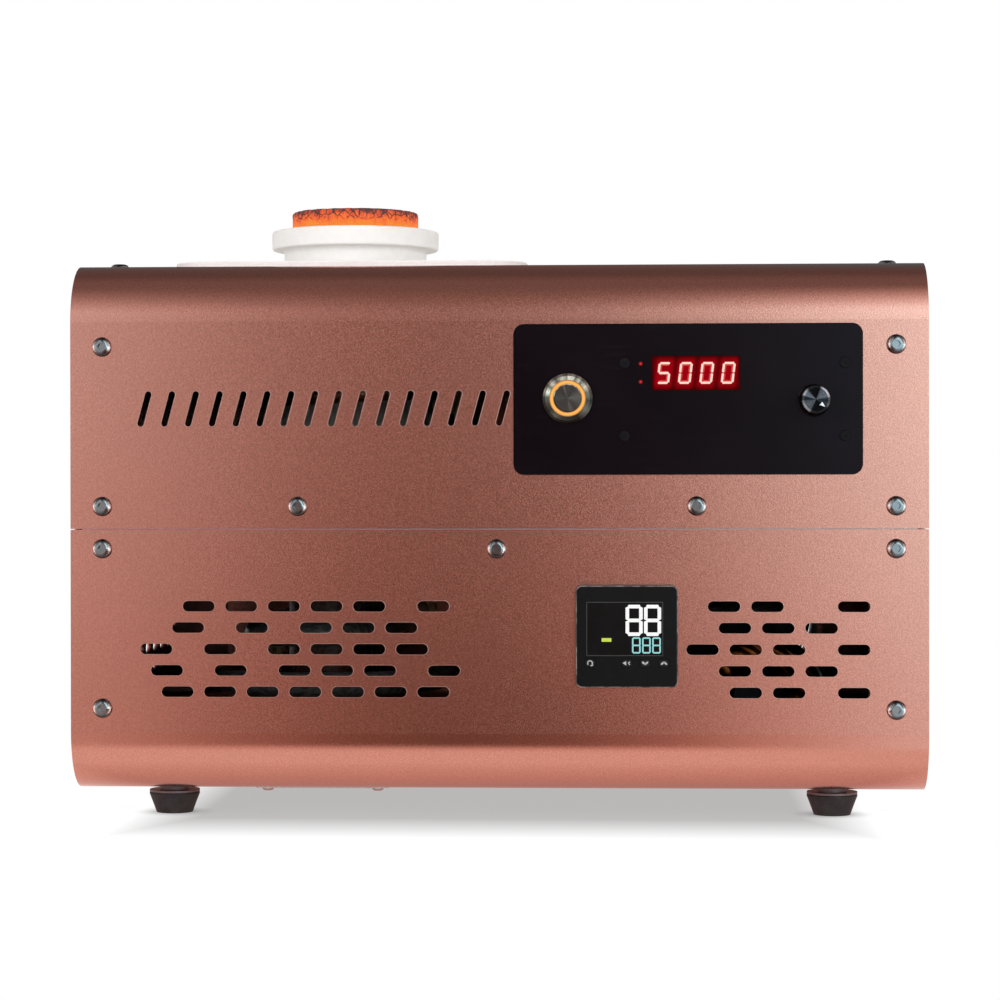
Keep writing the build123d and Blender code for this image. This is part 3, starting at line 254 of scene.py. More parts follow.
def euler(turn):
    about_x, about_y, about_z = (Matrix.Rotation(angle, 3, axis) for angle, axis in zip(turn, "XYZ"))
    return about_z @ about_y @ about_x


def copy_of(piece, place, turn=(0, 0, 0)):
    """A copy with its own mesh at a place."""
    twin = piece.copy()
    twin.data = piece.data.copy()
    bpy.context.scene.collection.objects.link(twin)
    put(twin, place, turn)
    return twin


def joined(pieces):
    start_fresh(*pieces)
    bpy.ops.object.join()
    return pieces[0]


def discard(piece):
    bpy.data.objects.remove(piece)


def dress(piece, finish):
    piece.data.materials.clear()
    piece.data.materials.append(finish)


def finished(piece, name, body, finish, smooth=35):
    """Names a piece, gives it its finish and sets it on its body. Edges sharper than smooth stay sharp."""
    start_fresh(piece)
    bpy.ops.object.shade_smooth_by_angle(angle=radians(smooth))
    piece.name = name
    piece.data.name = name
    dress(piece, finish)
    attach(piece, body)
    return piece


FACING_FRONT = (radians(90), 0, 0)


# ---- finishes ----
def shade(colour, factor):
    return tuple(min(1, part * factor) for part in colour)


class Finish:
    """A node material round one Principled shader. Patterns follow Object coordinates, in metres."""

    def __init__(self, name, colour, roughness, metallic=0.0):
        self.material = bpy.data.materials.new(name)
        self.material.use_nodes = True
        tree = self.material.node_tree
        self.nodes, self.links = tree.nodes, tree.links
        self.shader = self.nodes["Principled BSDF"]
        self.put(Base_Color=(*colour, 1), Roughness=roughness, Metallic=metallic)
        self.place = self.nodes.new("ShaderNodeTexCoord").outputs["Object"]
        self.normal = None

    def put(self, **values):
        """Sets the shader's own sockets. A socket fed by nodes is linked instead."""
        for name, value in values.items():
            self.feed(self.shader.inputs[name.replace("_", " ")], value)

    def feed(self, socket, value):
        if isinstance(value, bpy.types.NodeSocket):
            self.links.new(value, socket)
        else:
            socket.default_value = value

    def node(self, kind, *values, output=0, **settings):
        made = self.nodes.new("ShaderNode" + kind)
        for name, value in settings.items():
            setattr(made, name, value)
        for socket, value in zip(made.inputs, values):
            if value is not None:
                self.feed(socket, value)
        return made.outputs[output]

    def mapped(self, centre=(0, 0, 0), stretch=(1, 1, 1)):
        """Object coordinates about a centre, drawn out along the axes."""
        moved = self.node("VectorMath", self.place, centre, operation="SUBTRACT")
        return self.node("VectorMath", moved, [1 / s for s in stretch], operation="MULTIPLY")

    def texture(self, kind, place, size, output, **values):
        """A texture whose features have a size in metres."""
        made = self.nodes.new("ShaderNodeTex" + kind)
        for name, value in {"Vector": place, "Scale": 1 / size, **values}.items():
            self.feed(made.inputs[name], value)
        return made.outputs[output]

    def noise(self, grain, detail=2.0, roughness=0.5, stretch=(1, 1, 1)):
        place = self.mapped(stretch=stretch)
        return self.texture("Noise", place, grain, "Fac", Detail=detail, Roughness=roughness)

    def cells(self, size):
        return self.texture("Voronoi", self.place, size, "Distance")

    def cracks(self, size, waver):
        """Distance from the lines of a wavering network."""
        warp = self.texture("Noise", self.place, size, "Color")
        pushed = self.node("VectorMath", warp, (waver * 2,) * 3, self.place, operation="MULTIPLY_ADD")
        lines = self.texture("Voronoi", pushed, size, "Distance")
        lines.node.feature = "DISTANCE_TO_EDGE"
        return lines

    def from_axis(self, centre, axis="Y"):
        """Distance from an axis through a centre."""
        keep = [0 if axis == letter else 1 for letter in "XYZ"]
        moved = self.node("VectorMath", self.place, tuple(centre), operation="SUBTRACT")
        flat = self.node("VectorMath", moved, keep, operation="MULTIPLY")
        return self.node("VectorMath", flat, operation="LENGTH", output="Value")

    def split(self, vector):
        """The X, Y and Z parts of a vector."""
        return self.node("SeparateXYZ", vector).node.outputs

    def height(self):
        return self.split(self.place)["Z"]

    def facing(self, axis):
        """How far the surface faces along an axis, either way."""
        true_normal = self.node("NewGeometry", output="True Normal")
        return self.size_of(self.split(true_normal)[axis])

    def maths(self, operation, *values):
        return self.node("Math", *values, operation=operation)

    def times(self, product, *others):
        for other in others:
            product = self.maths("MULTIPLY", product, other)
        return product

    def most(self, first, second):
        return self.maths("MAXIMUM", first, second)

    def size_of(self, value):
        return self.maths("ABSOLUTE", value)

    def blend(self, share, first, second):
        """Goes from one number to another, as mix does with colours."""
        return self.node("Mix", share, None, first, second)

    def between(self, value, low, high, low_result=0.0, high_result=1.0):
        """Maps a range of a value to another range, and stays inside it."""
        return self.node("MapRange", value, low, high, low_result, high_result)

    def ramp(self, value, *stops):
        made = self.nodes.new("ShaderNodeValToRGB")
        self.feed(made.inputs["Fac"], value)
        elements = made.color_ramp.elements
        for number, (at, colour) in enumerate(stops):
            element = elements[number] if number < 2 else elements.new(at)
            element.position = at
            element.color = (*colour, 1)
        return made.outputs["Color"]

    def mottled(self, value, colour, dim, pale, low=0.3, high=0.7):
        """A colour that goes from a dim to a pale shade as a value rises from low to high."""
        return self.ramp(value, (low, shade(colour, dim)), (high, shade(colour, pale)))

    def mix(self, share, first, second):
        made = self.nodes.new("ShaderNodeMix")
        made.data_type = "RGBA"
        for socket, value in ((0, share), (6, first), (7, second)):
            if isinstance(value, (tuple, list)):
                value = (*value, 1)
            self.feed(made.inputs[socket], value)
        return made.outputs[2]

    def bump(self, height, depth):
        """Relief of a real depth where the height goes from 0 to 1. Reliefs add up."""
        made = self.nodes.new("ShaderNodeBump")
        made.inputs["Distance"].default_value = depth
        self.feed(made.inputs["Height"], height)
        if self.normal:
            self.feed(made.inputs["Normal"], self.normal)
        self.normal = made.outputs["Normal"]
        self.put(Normal=self.normal)


def anodised(name, tint, edge, inner=None):
    """Blasted and dyed aluminium: a fine metal grain under a clear oxide skin, bare at the cut edges.

    A side sheet is given the place of its inner face, which is painted near black as shade inside the case.
    """
    finish = Finish(name, tint, 0.4, 1.0)
    grain = finish.noise(0.7 * MM, 3, 0.75)
    patches = finish.noise(38 * MM, 2, 0.5)
    drawn = finish.noise(1.1 * MM, 2, 0.5, stretch=(1, 1, 26))
    tone = finish.mottled(grain, tint, 0.84, 1.16, 0.34, 0.66)
    tone = finish.mix(finish.between(patches, 0.3, 0.7, 0, 0.22), tone, shade(tint, 0.88))
    tone = finish.mix(finish.between(drawn, 0.35, 0.65, 0, 0.1), tone, shade(tint, 0.8))
    specks = finish.between(finish.cells(1.9 * MM), 0.08, 0.13, 0.5, 0)
    tone = finish.mix(specks, tone, shade(edge, 1.1))
    if inner:
        sideways = finish.size_of(finish.split(finish.place)["X"])
        # Painted shade: the inner face is darkened to stand for the shade inside the case.
        painted_inner_shade = finish.between(sideways, inner, inner + 0.3 * MM, 0.85, 0)
        tone = finish.mix(painted_inner_shade, tone, (0.02, 0.01, 0.01))
    else:
        tone = finish.mix(finish.between(finish.facing("X"), 0.3, 0.4), tone, edge)
    finish.put(Base_Color=tone)
    finish.put(Roughness=finish.between(grain, 0.2, 0.8, 0.13, 0.21))
    finish.put(Coat_Weight=0.3, Coat_Roughness=0.3, Coat_IOR=1.5)
    finish.bump(grain, 0.02 * MM)
    return finish.material


def bare_edge():
    """The cut edge of a slot, deburred and slightly scuffed."""
    edge = colours().case_edge
    finish = Finish("deburred_edge", edge, 0.3, 1.0)
    scuff = finish.noise(0.6 * MM, 3)
    finish.put(Base_Color=finish.mottled(scuff, edge, 0.85, 1.15))
    return finish.material


def metal(name, colour, roughness, grain=0.4 * MM, stretch=(1, 1, 1), depth=0.004 * MM, tarnish=0.75):
    """Plain metal with a working grain and patches of tarnish."""
    finish = Finish(name, colour, roughness, 1.0)
    fine = finish.noise(grain, 3, 0.6, stretch)
    patches = finish.noise(9 * MM, 4, 0.6)
    tone = finish.mottled(fine, colour, 0.88, 1.08)
    tone = finish.mix(finish.between(patches, 0.5, 0.75, 0, 0.5), tone, shade(colour, tarnish))
    finish.put(Base_Color=tone)
    rough = finish.maths("MULTIPLY_ADD", fine, 0.16, roughness - 0.08)
    finish.put(Roughness=finish.maths("MULTIPLY_ADD", patches, 0.12, rough))
    finish.bump(fine, depth)
    return finish.material


def heads_with_painted_sheen(name):
    """Polished screw heads that face along Y, with painted light.

    A dim crown, painted shade above, below and on the walls, and a painted highlight on both flanks.
    """
    crown, painted_flank_highlight, dark = (0.26, 0.275, 0.28), (1.0, 0.85, 0.8), (0.05, 0.05, 0.05)
    finish = Finish(name, crown, 0.15, 1.0)
    fine = finish.noise(0.4 * MM, 3, 0.6)
    tone = finish.mottled(fine, crown, 0.8, 1.2)
    # Painted highlight: faces turned sideways are given a bright colour.
    tone = finish.mix(finish.between(finish.facing("X"), 0.25, 0.5), tone, painted_flank_highlight)
    # Painted shade: faces turned up or down, and the head's side walls, are given a near black colour.
    upright = finish.between(finish.facing("Z"), 0.15, 0.45, 0, 0.9)
    walls = finish.between(finish.facing("Y"), 0.5, 0.3)
    finish.put(Base_Color=finish.mix(finish.most(upright, walls), tone, dark))
    finish.bump(fine, 0.004 * MM)
    return finish.material


def plastic(name, colour, roughness, grain=0.5 * MM, depth=0.01 * MM, dust=0.03, gloss=0.4, painted_edge_highlight=0.0):
    """Moulded plastic with a fine texture, slight flow marks and a little dust.

    If asked, its sloping edges are given a painted pale highlight, in patches.
    """
    finish = Finish(name, colour, roughness)
    fine = finish.noise(grain, 2, 0.6)
    flow = finish.noise(14 * MM, 3, 0.5, stretch=(1, 1, 2.5))
    tone = finish.mottled(flow, colour, 0.85, 1.12)
    settled = finish.between(finish.noise(3 * MM, 4, 0.7), 0.55, 0.75, 0, dust)
    tone = finish.mix(settled, tone, (0.6, 0.58, 0.55))
    if painted_edge_highlight:
        # Painted highlight: faces sloping off the front are paled, in noisy patches.
        slant = finish.facing("Y")
        off_flank = finish.between(slant, 0.1, 0.3, 0, painted_edge_highlight)
        off_face = finish.between(slant, 0.97, 0.85)
        highlight_patches = finish.between(finish.noise(4 * MM, 3, 0.6), 0.4, 0.6, 0.25, 1)
        tone = finish.mix(finish.times(off_flank, off_face, highlight_patches), tone, (0.42, 0.37, 0.35))
    finish.put(Base_Color=tone)
    finish.put(Roughness=finish.maths("MULTIPLY_ADD", fine, 0.2, roughness - 0.1), Specular_IOR_Level=gloss)
    finish.bump(fine, depth)
    return finish.material


def turned_metal(name, colour, roughness, centre, painted_sheen, pitch=0.22 * MM, depth=0.03 * MM, rim=None):
    """Metal faced on a lathe about an axis along Y: fine rings, with painted highlights and shade in wedges.

    The painted levels of the wedges are given for each part of a turn.
    The bevel beyond the radius rim, where there is one, is bare.
    """
    finish = Finish(name, colour, roughness, 1.0)
    radius = finish.from_axis(centre)
    wave = finish.maths("SINE", finish.times(radius, 2 * pi / pitch))
    waver = finish.noise(0.5 * MM, 3, 0.6)
    tone = finish.mottled(waver, colour, 0.88, 1.1)
    if rim:
        slant = finish.facing("Y")
        beyond = finish.between(radius, rim, rim + 0.1 * MM)
        cut = finish.times(finish.between(slant, 0.2, 0.3), finish.between(slant, 0.96, 0.9), beyond)
        tone = finish.mix(cut, tone, (1.0, 0.95, 0.93))
    # Painted highlights and shade: the colour is multiplied by levels set for each part of a turn.
    place = finish.split(finish.mapped(centre=tuple(centre)))
    angle = finish.maths("ARCTAN2", place["X"], place["Z"])
    turn = finish.maths("FRACT", finish.maths("ADD", finish.maths("DIVIDE", angle, 2 * pi), 1))
    wedges = finish.ramp(turn, *((at, (level, level, level)) for at, level in painted_sheen))
    finish.put(Base_Color=finish.node("VectorMath", tone, wedges, operation="MULTIPLY"))
    finish.bump(finish.between(wave, -1, 1), depth)
    return finish.material


def polished_panel():
    """Black acrylic: a near mirror with a few hairline scratches and specks of dust."""
    colour = tuple(colours().panel)
    finish = Finish("polished_black_panel", colour, 0.12)
    scratches = finish.noise(0.35 * MM, 1, 0.4, stretch=(60, 1, 4))
    cloud = finish.noise(45 * MM, 2)
    dust = finish.between(finish.cells(3.4 * MM), 0.02, 0.035, 0.5, 0)
    tone = finish.mottled(cloud, colour, 1, 1.5)
    finish.put(Base_Color=finish.mix(dust, tone, (0.03, 0.027, 0.028)))
    finish.put(Roughness=finish.between(scratches, 0.62, 0.75, 0.12, 0.24))
    finish.put(Specular_IOR_Level=0.075)
    finish.bump(cloud, 0.03 * MM)
    return finish.material


def rubber():
    """Moulded rubber, matt, with grey bloom and dust."""
    finish = Finish("foot_rubber", (0.014, 0.014, 0.015), 0.62)
    fine = finish.noise(0.35 * MM, 3)
    bloom = finish.noise(6 * MM, 4, 0.65)
    finish.put(Base_Color=finish.ramp(bloom, (0.4, (0.011, 0.011, 0.012)), (0.85, (0.045, 0.043, 0.042))))
    finish.put(Roughness=finish.between(bloom, 0.3, 0.7, 0.5, 0.72))
    finish.bump(fine, 0.02 * MM)
    return finish.material


def fired_ceramic(name, colour, low, high):
    """Cast and fired ceramic: matt, pitted, with patches of stain, and warmer near the heat."""
    finish = Finish(name, colour, 0.72)
    cast = finish.noise(5 * MM, 4, 0.6)
    pores = finish.between(finish.cells(1.3 * MM), 0.1, 0.28)
    tone = finish.mottled(cast, colour, 0.97, 1.02)
    stain = finish.between(finish.noise(11 * MM, 5, 0.7), 0.54, 0.74, 0, 0.12)
    tone = finish.mix(stain, tone, (0.62, 0.56, 0.48))
    heat = finish.between(finish.height(), low, high, 0, 0.12)
    tone = finish.mix(heat, tone, (0.7, 0.55, 0.42))
    finish.put(Base_Color=tone)
    finish.bump(pores, 0.02 * MM)
    finish.bump(cast, 0.06 * MM)
    return finish.material


def insulation_board():
    """Pressed fibre board: chalky white with short fibres, smudges and a brown ring round the crucible."""
    colour = (0.9, 0.865, 0.85)
    finish = Finish("insulation_board", colour, 0.8)
    fibres = finish.noise(0.5 * MM, 3, 0.6, stretch=(7, 1, 1))
    cross = finish.noise(0.5 * MM, 3, 0.6, stretch=(1, 7, 1))
    both = finish.times(fibres, cross)
    tone = finish.mottled(both, colour, 0.9, 1.04, 0.12, 0.4)
    smudge = finish.between(finish.noise(17 * MM, 4, 0.6), 0.55, 0.75, 0, 0.25)
    scorch = finish.between(finish.from_axis(CRUCIBLE, "Z"), 37 * MM, 60 * MM, 0.25, 0)
    tone = finish.mix(smudge, tone, (0.66, 0.62, 0.56))
    finish.put(Base_Color=finish.mix(scorch, tone, (0.6, 0.48, 0.36)))
    finish.bump(both, 0.1 * MM)
    return finish.material


def glowing_graphite():
    """Graphite at casting heat: orange between dark flakes of scale, most at the rim and the foot."""
    pick = colours()
    finish = Finish("glowing_graphite", (0.015, 0.011, 0.01), 0.75)
    veins = finish.noise(1.5 * MM, 6, 0.74, stretch=(1, 1, 1.6))
    flakes = finish.noise(4.2 * MM, 5, 0.65, stretch=(1.5, 1.5, 1))
    rim = finish.between(finish.height(), CRUCIBLE_RIM - 8.5 * MM, CRUCIBLE_RIM, -0.17, 0.17)
    inward = finish.between(finish.from_axis(CRUCIBLE, "Z"), 25 * MM, 31 * MM, -0.12, 0)
    base = finish.between(finish.height(), CRUCIBLE_LOW, CRUCIBLE_RIM - 20 * MM, 0.17, 0.02)
    crazing = finish.cracks(3.6 * MM, 0.9 * MM)
    lines = finish.times(finish.between(crazing, 0.02, 0.09, 0.2, 0), finish.between(rim, -0.12, 0.05))
    cold = finish.maths("MULTIPLY_ADD", veins, 0.55, finish.times(flakes, 0.45))
    for cooler in (rim, inward, lines, base):
        cold = finish.maths("ADD", cold, cooler)
    glow = finish.ramp(
        cold,
        (0.36, tuple(pick.glow_hot)),
        (0.5, (1.0, 0.16, 0.02)),
        (0.58, tuple(pick.glow_warm)),
        (0.66, tuple(pick.glow_dull)),
        (0.76, (0.08, 0.022, 0.022)),
    )
    finish.put(Emission_Color=glow, Emission_Strength=0.9)
    finish.bump(cold, 0.5 * MM)
    return finish.material


def lit(name, colour, strength=1.0, unlit=(0.02, 0.02, 0.02)):
    """A lit bar or lamp, a little uneven, as light through plastic is."""
    finish = Finish(name, unlit, 0.3)
    glow = finish.mottled(finish.noise(1.2 * MM, 2), colour, 0.85, 1, low=0.25)
    finish.put(Emission_Color=glow, Emission_Strength=strength)
    return finish.material


def small_lamps():
    """Two red lamps behind the panel: a bright core in a dark lens."""
    low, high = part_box("indicator_leds")
    radius = (high.x - low.x) / 2
    finish = Finish("indicator_lamp", (0.02, 0.002, 0.002), 0.3)
    finish.put(Specular_IOR_Level=0.1)
    offset = finish.node("VectorMath", finish.mapped(centre=tuple((low + high) / 2)), operation="ABSOLUTE")
    offset = finish.node("VectorMath", offset, (0, 0, (high.z - low.z) / 2 - radius), operation="SUBTRACT")
    offset = finish.node("VectorMath", offset, (1, 0, 1), operation="MULTIPLY")
    reach = finish.node("VectorMath", offset, operation="LENGTH", output="Value")
    glow = finish.ramp(
        finish.between(reach, 0, radius),
        (0.0, (0.85, 0.05, 0.05)), (0.3, (0.45, 0.004, 0.008)), (0.65, (0.02, 0.0, 0.001)),
    )
    finish.put(Emission_Color=glow, Emission_Strength=1.0)
    return finish.material


def ring_light():
    """Frosted ring lit amber from inside, paler along its middle."""
    colour = tuple(colours().ring_light)
    low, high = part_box("power_switch_ring")
    outer = (high.x - low.x) / 2
    finish = Finish("amber_ring_light", (0.12, 0.06, 0.03), 0.45)
    radius = finish.from_axis(BUTTON)
    inner = outer - 2.0 * MM
    pale = (1.0, 0.41, 0.035)
    glow = finish.ramp(
        finish.between(radius, inner, outer),
        (0.0, shade(colour, 0.2)), (0.35, pale), (0.6, pale), (1.0, shade(colour, 0.15)),
    )
    finish.put(Emission_Color=glow, Emission_Strength=1.0)
    finish.bump(finish.noise(0.5 * MM, 2), 0.02 * MM)
    return finish.material


def display_filter():
    """Deep red filter that glows round each digit and darkens between them and to its rim."""
    colour = tuple(colours().filter)
    size = sizes()
    finish = Finish("display_filter", shade(colour, 0.05), 0.16)
    finish.put(Specular_IOR_Level=0.02)
    low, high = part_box("display_module")
    half = (high - low) / 2
    place = finish.split(finish.mapped(centre=tuple(DISPLAY)))
    upright = finish.maths("MULTIPLY_ADD", place["Z"], -sin(size.digit_lean), place["X"])
    pitches = finish.maths("DIVIDE", upright, size.digit_pitch)
    aside = finish.size_of(finish.maths("SUBTRACT", finish.maths("FRACT", pitches), 0.5))
    aside = finish.times(aside, size.digit_pitch)
    above = finish.size_of(place["Z"])
    reach = 1.6 * MM
    near_digit = finish.between(aside, size.digit_width / 2, size.digit_width / 2 + reach, 1, 0.3)
    near_row = finish.between(above, size.digit_height / 2, half.z, 1, 0.12)
    sideways = finish.size_of(place["X"])
    inside = finish.between(sideways, half.x - 1.2 * MM, half.x, 1, 0.25)
    cloudy = finish.between(finish.noise(2.5 * MM, 3), 0.2, 0.8, 0.8, 1.15)
    level = finish.times(near_digit, near_row, inside, cloudy)
    finish.put(Emission_Color=finish.mix(level, shade(colour, 0.06), colour), Emission_Strength=1.0)
    return finish.material


def circuit_board(name, colour):
    """Solder mask over faint tracks, with tinned pads."""
    finish = Finish(name, colour, 0.35)
    tracks = finish.between(finish.noise(2.2 * MM, 0, stretch=(5, 1, 1)), 0.47, 0.5)
    pads = finish.between(finish.cells(4.2 * MM), 0.12, 0.16, 1, 0)
    tone = finish.mix(tracks, shade(colour, 0.8), shade(colour, 1.35))
    finish.put(Base_Color=finish.mix(pads, tone, (0.62, 0.62, 0.58)), Metallic=pads)
    finish.bump(tracks, 0.03 * MM)
    return finish.material


def winding():
    """Enamelled copper wire laid in even turns.

    Its colour is dimmed as painted shade inside the case, and near black between the turns as painted shade.
    """
    finish = Finish("enamelled_winding", (0.35, 0.12, 0.04), 0.3, 1.0)
    scale, distortion = 90.0, 1.5
    turns = finish.node("TexWave", finish.place, scale, distortion, bands_direction="DIAGONAL")
    # Painted shade: dim copper for the shade inside the case, near black bands for the shade between turns.
    tone = finish.ramp(turns, (0.3, (0.02, 0.006, 0.003)), (0.75, (0.28, 0.08, 0.02)))
    finish.put(Base_Color=tone)
    finish.bump(turns, 0.3 * MM)
    return finish.material


def silicone_hose():
    """Hose with a faint braid inside and a wet shine.

    Its near black colour is painted shade inside the case.
    """
    finish = Finish("silicone_hose", (0.07, 0.07, 0.07), 0.3)
    braid = finish.between(finish.noise(1.4 * MM, 1, stretch=(3, 1, 3)), 0.45, 0.55)
    # Painted shade: the near black colour stands for the shade inside the case.
    finish.put(Base_Color=finish.mix(braid, (0.05, 0.05, 0.05), (0.1, 0.1, 0.1)))
    finish.put(Coat_Weight=0.6, Coat_Roughness=0.1)
    finish.bump(braid, 0.04 * MM)
    return finish.material


# ---- which finish each frame node takes ----
# Painted highlights and shade of turned faces: (part of a turn clockwise from the top, level)
SWITCH_PAINTED_SHEEN = (
    (0.0, 0.9), (0.04, 0.8), (0.06, 0.2), (0.09, 0.6), (0.11, 0.2), (0.16, 0.75), (0.2, 0.2), (0.27, 0.05),
    (0.34, 0.2), (0.42, 0.03), (0.54, 0.05), (0.6, 0.12), (0.66, 0.04), (0.76, 0.1), (0.8, 0.9), (0.84, 0.2),
    (0.87, 0.8), (0.91, 0.15), (0.96, 0.7), (1.0, 0.3),
)
CAP_PAINTED_SHEEN = (
    (0.0, 0.4), (0.09, 0.3), (0.2, 0.55), (0.4, 0.35), (0.46, 0.7), (0.5, 0.35), (0.7, 0.3), (0.93, 0.35),
    (0.95, 0.9), (0.97, 0.35), (1.0, 0.4),
)
KNOB_PAINTED_SHEEN = (
    (0.0, 0.03), (0.05, 0.03), (0.08, 0.6), (0.14, 0.9), (0.2, 0.8), (0.235, 0.12), (0.27, 0.08),
    (0.32, 0.2), (0.36, 0.03), (0.5, 0.03), (0.56, 0.05), (0.59, 0.6), (0.66, 0.7), (0.72, 0.35),
    (0.75, 0.06), (0.79, 0.1), (0.81, 0.8), (0.86, 0.65), (0.9, 0.04), (1.0, 0.03),
)


def metal_finishes():
    """Each metal with the nodes that take it."""
    case, edge = tuple(colours().case), tuple(colours().case_edge)
    return (
        (anodised("rose_anodised_case", case, edge), ["upper_shell", "lower_shell"]),
        (
            anodised("rose_anodised_sides", shade(case, 0.92), edge, inner=SIDE - 1 * MM),
            ["right_side_panel", "left_side_panel"],
        ),
        (
            metal("zinc_plate", (0.62, 0.62, 0.6), 0.36, grain=1.2 * MM),
            ["chassis_shelf", "bottom_service_plate", "fan_guards", "potentiometer_shaft"],
        ),
        # Painted shade: the foot cups' dark colour stands for the shade under the case.
        (metal("foot_cup_steel", (0.2, 0.15, 0.15), 0.42, grain=1.2 * MM), ["foot_washers"]),
        (heads_with_painted_sheen("polished_screw_heads"), ["shell_screws"]),
        (
            metal("bright_stainless", (0.56, 0.53, 0.5), 0.17, 0.3 * MM, depth=0.003 * MM, tarnish=0.7),
            [
                "service_plate_screws", "foot_screws", "insulation_plate_screws", "fan_screws",
                "power_switch_nut", "thermocouple",
            ],
        ),
        (
            metal("bright_copper", (0.86, 0.4, 0.22), 0.25, grain=0.5 * MM, tarnish=0.55),
            ["induction_coil"],
        ),
        (winding(), ["output_transformer"]),
        (
            metal("plain_brass", (0.78, 0.56, 0.26), 0.28, stretch=(1, 6, 1), tarnish=0.6),
            ["water_fittings", "coil_terminals", "rear_fitting_nuts", "board_standoffs"],
        ),
        (metal("black_extrusion", (0.05, 0.05, 0.055), 0.38, 0.8 * MM, stretch=(1, 40, 1)), ["heat_sink"]),
        (
            turned_metal("turned_stainless", (1.0, 0.86, 0.68), 0.2, BUTTON, SWITCH_PAINTED_SHEEN),
            ["power_switch_body"],
        ),
        (turned_metal("turned_cap", (0.2, 0.165, 0.14), 0.3, BUTTON, CAP_PAINTED_SHEEN), ["power_switch_cap"]),
    )


def other_finishes():
    """Each plastic, rubber, ceramic, board or light with the nodes that take it."""
    return (
        (
            plastic("blackened_steel", (0.0045, 0.0032, 0.0045), 0.4, dust=0.004, gloss=0.1),
            ["control_panel_screws", "potentiometer_body"],
        ),
        (rubber(), ["rubber_feet"]),
        (insulation_board(), ["top_insulation_plate"]),
        (
            fired_ceramic("ceramic_fibre", (0.74, 0.72, 0.68), BOTTOM, TOP),
            ["coil_sleeve", "liner_support_block"],
        ),
        (silicone_hose(), ["water_inlet_hose", "water_outlet_hose"]),
        (
            plastic("black_moulding", (0.025, 0.025, 0.028), 0.5, gloss=0.2),
            [
                "cable_gland", "breaker_lever", "left_fan_frame", "right_fan_frame", "left_fan_rotor",
                "right_fan_rotor", "power_modules", "controller_clamp",
            ],
        ),
        (plastic("grey_moulding", (0.3, 0.31, 0.32), 0.42), ["breaker_body", "contactor"]),
        (plastic("blue_moulding", (0.07, 0.15, 0.36), 0.38), ["resonant_capacitors"]),
        (plastic("brown_sleeve", (0.14, 0.06, 0.035), 0.28, grain=2 * MM), ["bus_capacitors"]),
        (circuit_board("green_circuit_board", (0.03, 0.16, 0.07)), ["control_board", "inverter_board"]),
        (polished_panel(), ["control_panel"]),
        (display_filter(), ["display_module"]),
        (small_lamps(), ["indicator_leds"]),
        (ring_light(), ["power_switch_ring"]),
        (
            # The bezel's pale sloping edges are a painted highlight.
            plastic("controller_bezel", (0.0045, 0.004, 0.0042), 0.42, dust=0.006, gloss=0.11, painted_edge_highlight=0.55),
            ["controller_housing"],
        ),
        (
            plastic("controller_window", (0.004, 0.0036, 0.0037), 0.2, 9 * MM, 0.004 * MM, 0.002, 0.16),
            ["controller_window"],
        ),
        (
            plastic("key_caps", (0.008, 0.0076, 0.0076), 0.5, dust=0.006, gloss=0.2),
            ["menu_key", "shift_key", "down_key", "up_key"],
        ),
    )


class FURNACE_OT_finishes(bpy.types.Operator):
    """Gives every piece of the frame its finish"""

    bl_idname = "furnace.finishes"
    bl_label = "Frame finishes"

    def execute(self, context):
        for finish, names in (*metal_finishes(), *other_finishes()):
            for name in names:
                dress(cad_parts[name], finish)
        return {"FINISHED"}


# ---- slot lips ----
SLOT_LENGTH = 15 * MM
SLOT_RADIUS = 2.5 * MM
LOUVRE_LENGTH = 17 * MM
LOUVRE_RADIUS = 1.5 * MM
LOUVRE_SLANT = radians(15)
LOUVRE_PITCH = 11.2 * MM
LOUVRE_COUNT = 16
LOUVRE_MIDDLE = Vector((-RIGHT + 119 * MM, FACE, TOP - 68.65 * MM))
SLOT_ROW_PITCH = 10 * MM
FIRST_ROW = BOTTOM + 87.35 * MM
# The front slots, from the top row down: millimetres from where the lattice starts to each slot's middle
LEFT_SLOTS = [
    [10, 30, 50, 70, 90, 120],
    [5, 35, 65, 85, 105],
    [-10, 20, 50, 70, 90, 110],
    [-5, 25, 55, 75, 95, 125],
    [0, 20, 40, 60, 80, 100, 120],
]
RIGHT_SLOTS = [[10, 30, 70], [15, 35, 55], [0, 20, 40, 70], [15, 35, 55], [20, 40, 70]]
LEFT_SLOTS_START = -RIGHT + 50.4 * MM
RIGHT_SLOTS_START = RIGHT - 104.5 * MM
SIDE_SLOT_MIDDLE = (FACE + 210 * MM, BOTTOM + 62.15 * MM)   # Y and Z
SIDE_SLOT_COLUMNS = 7
SIDE_SLOT_ROWS = 4
SIDE_SLOT_PITCH = 22 * MM


def slot_lip(length, radius):
    """Rounded lip of one slot that lies along X, half sunk in the sheet."""
    thickness = sizes().lip / 2
    start_fresh()
    bpy.ops.mesh.primitive_torus_add(
        major_radius=radius + thickness * 0.7, minor_radius=thickness, major_segments=30, minor_segments=8,
        rotation=FACING_FRONT,
    )
    lip = open_for_edit()
    part_ends(lip, length / 2 - radius)
    bpy.ops.mesh.select_all(action="SELECT")
    bpy.ops.transform.resize(value=(1, 0.5, 1))
    return close_edit()


def vent_places(start, rows):
    return [
        Vector((start + along * MM, FACE, FIRST_ROW - row * SLOT_ROW_PITCH))
        for row, places in enumerate(rows)
        for along in places
    ]


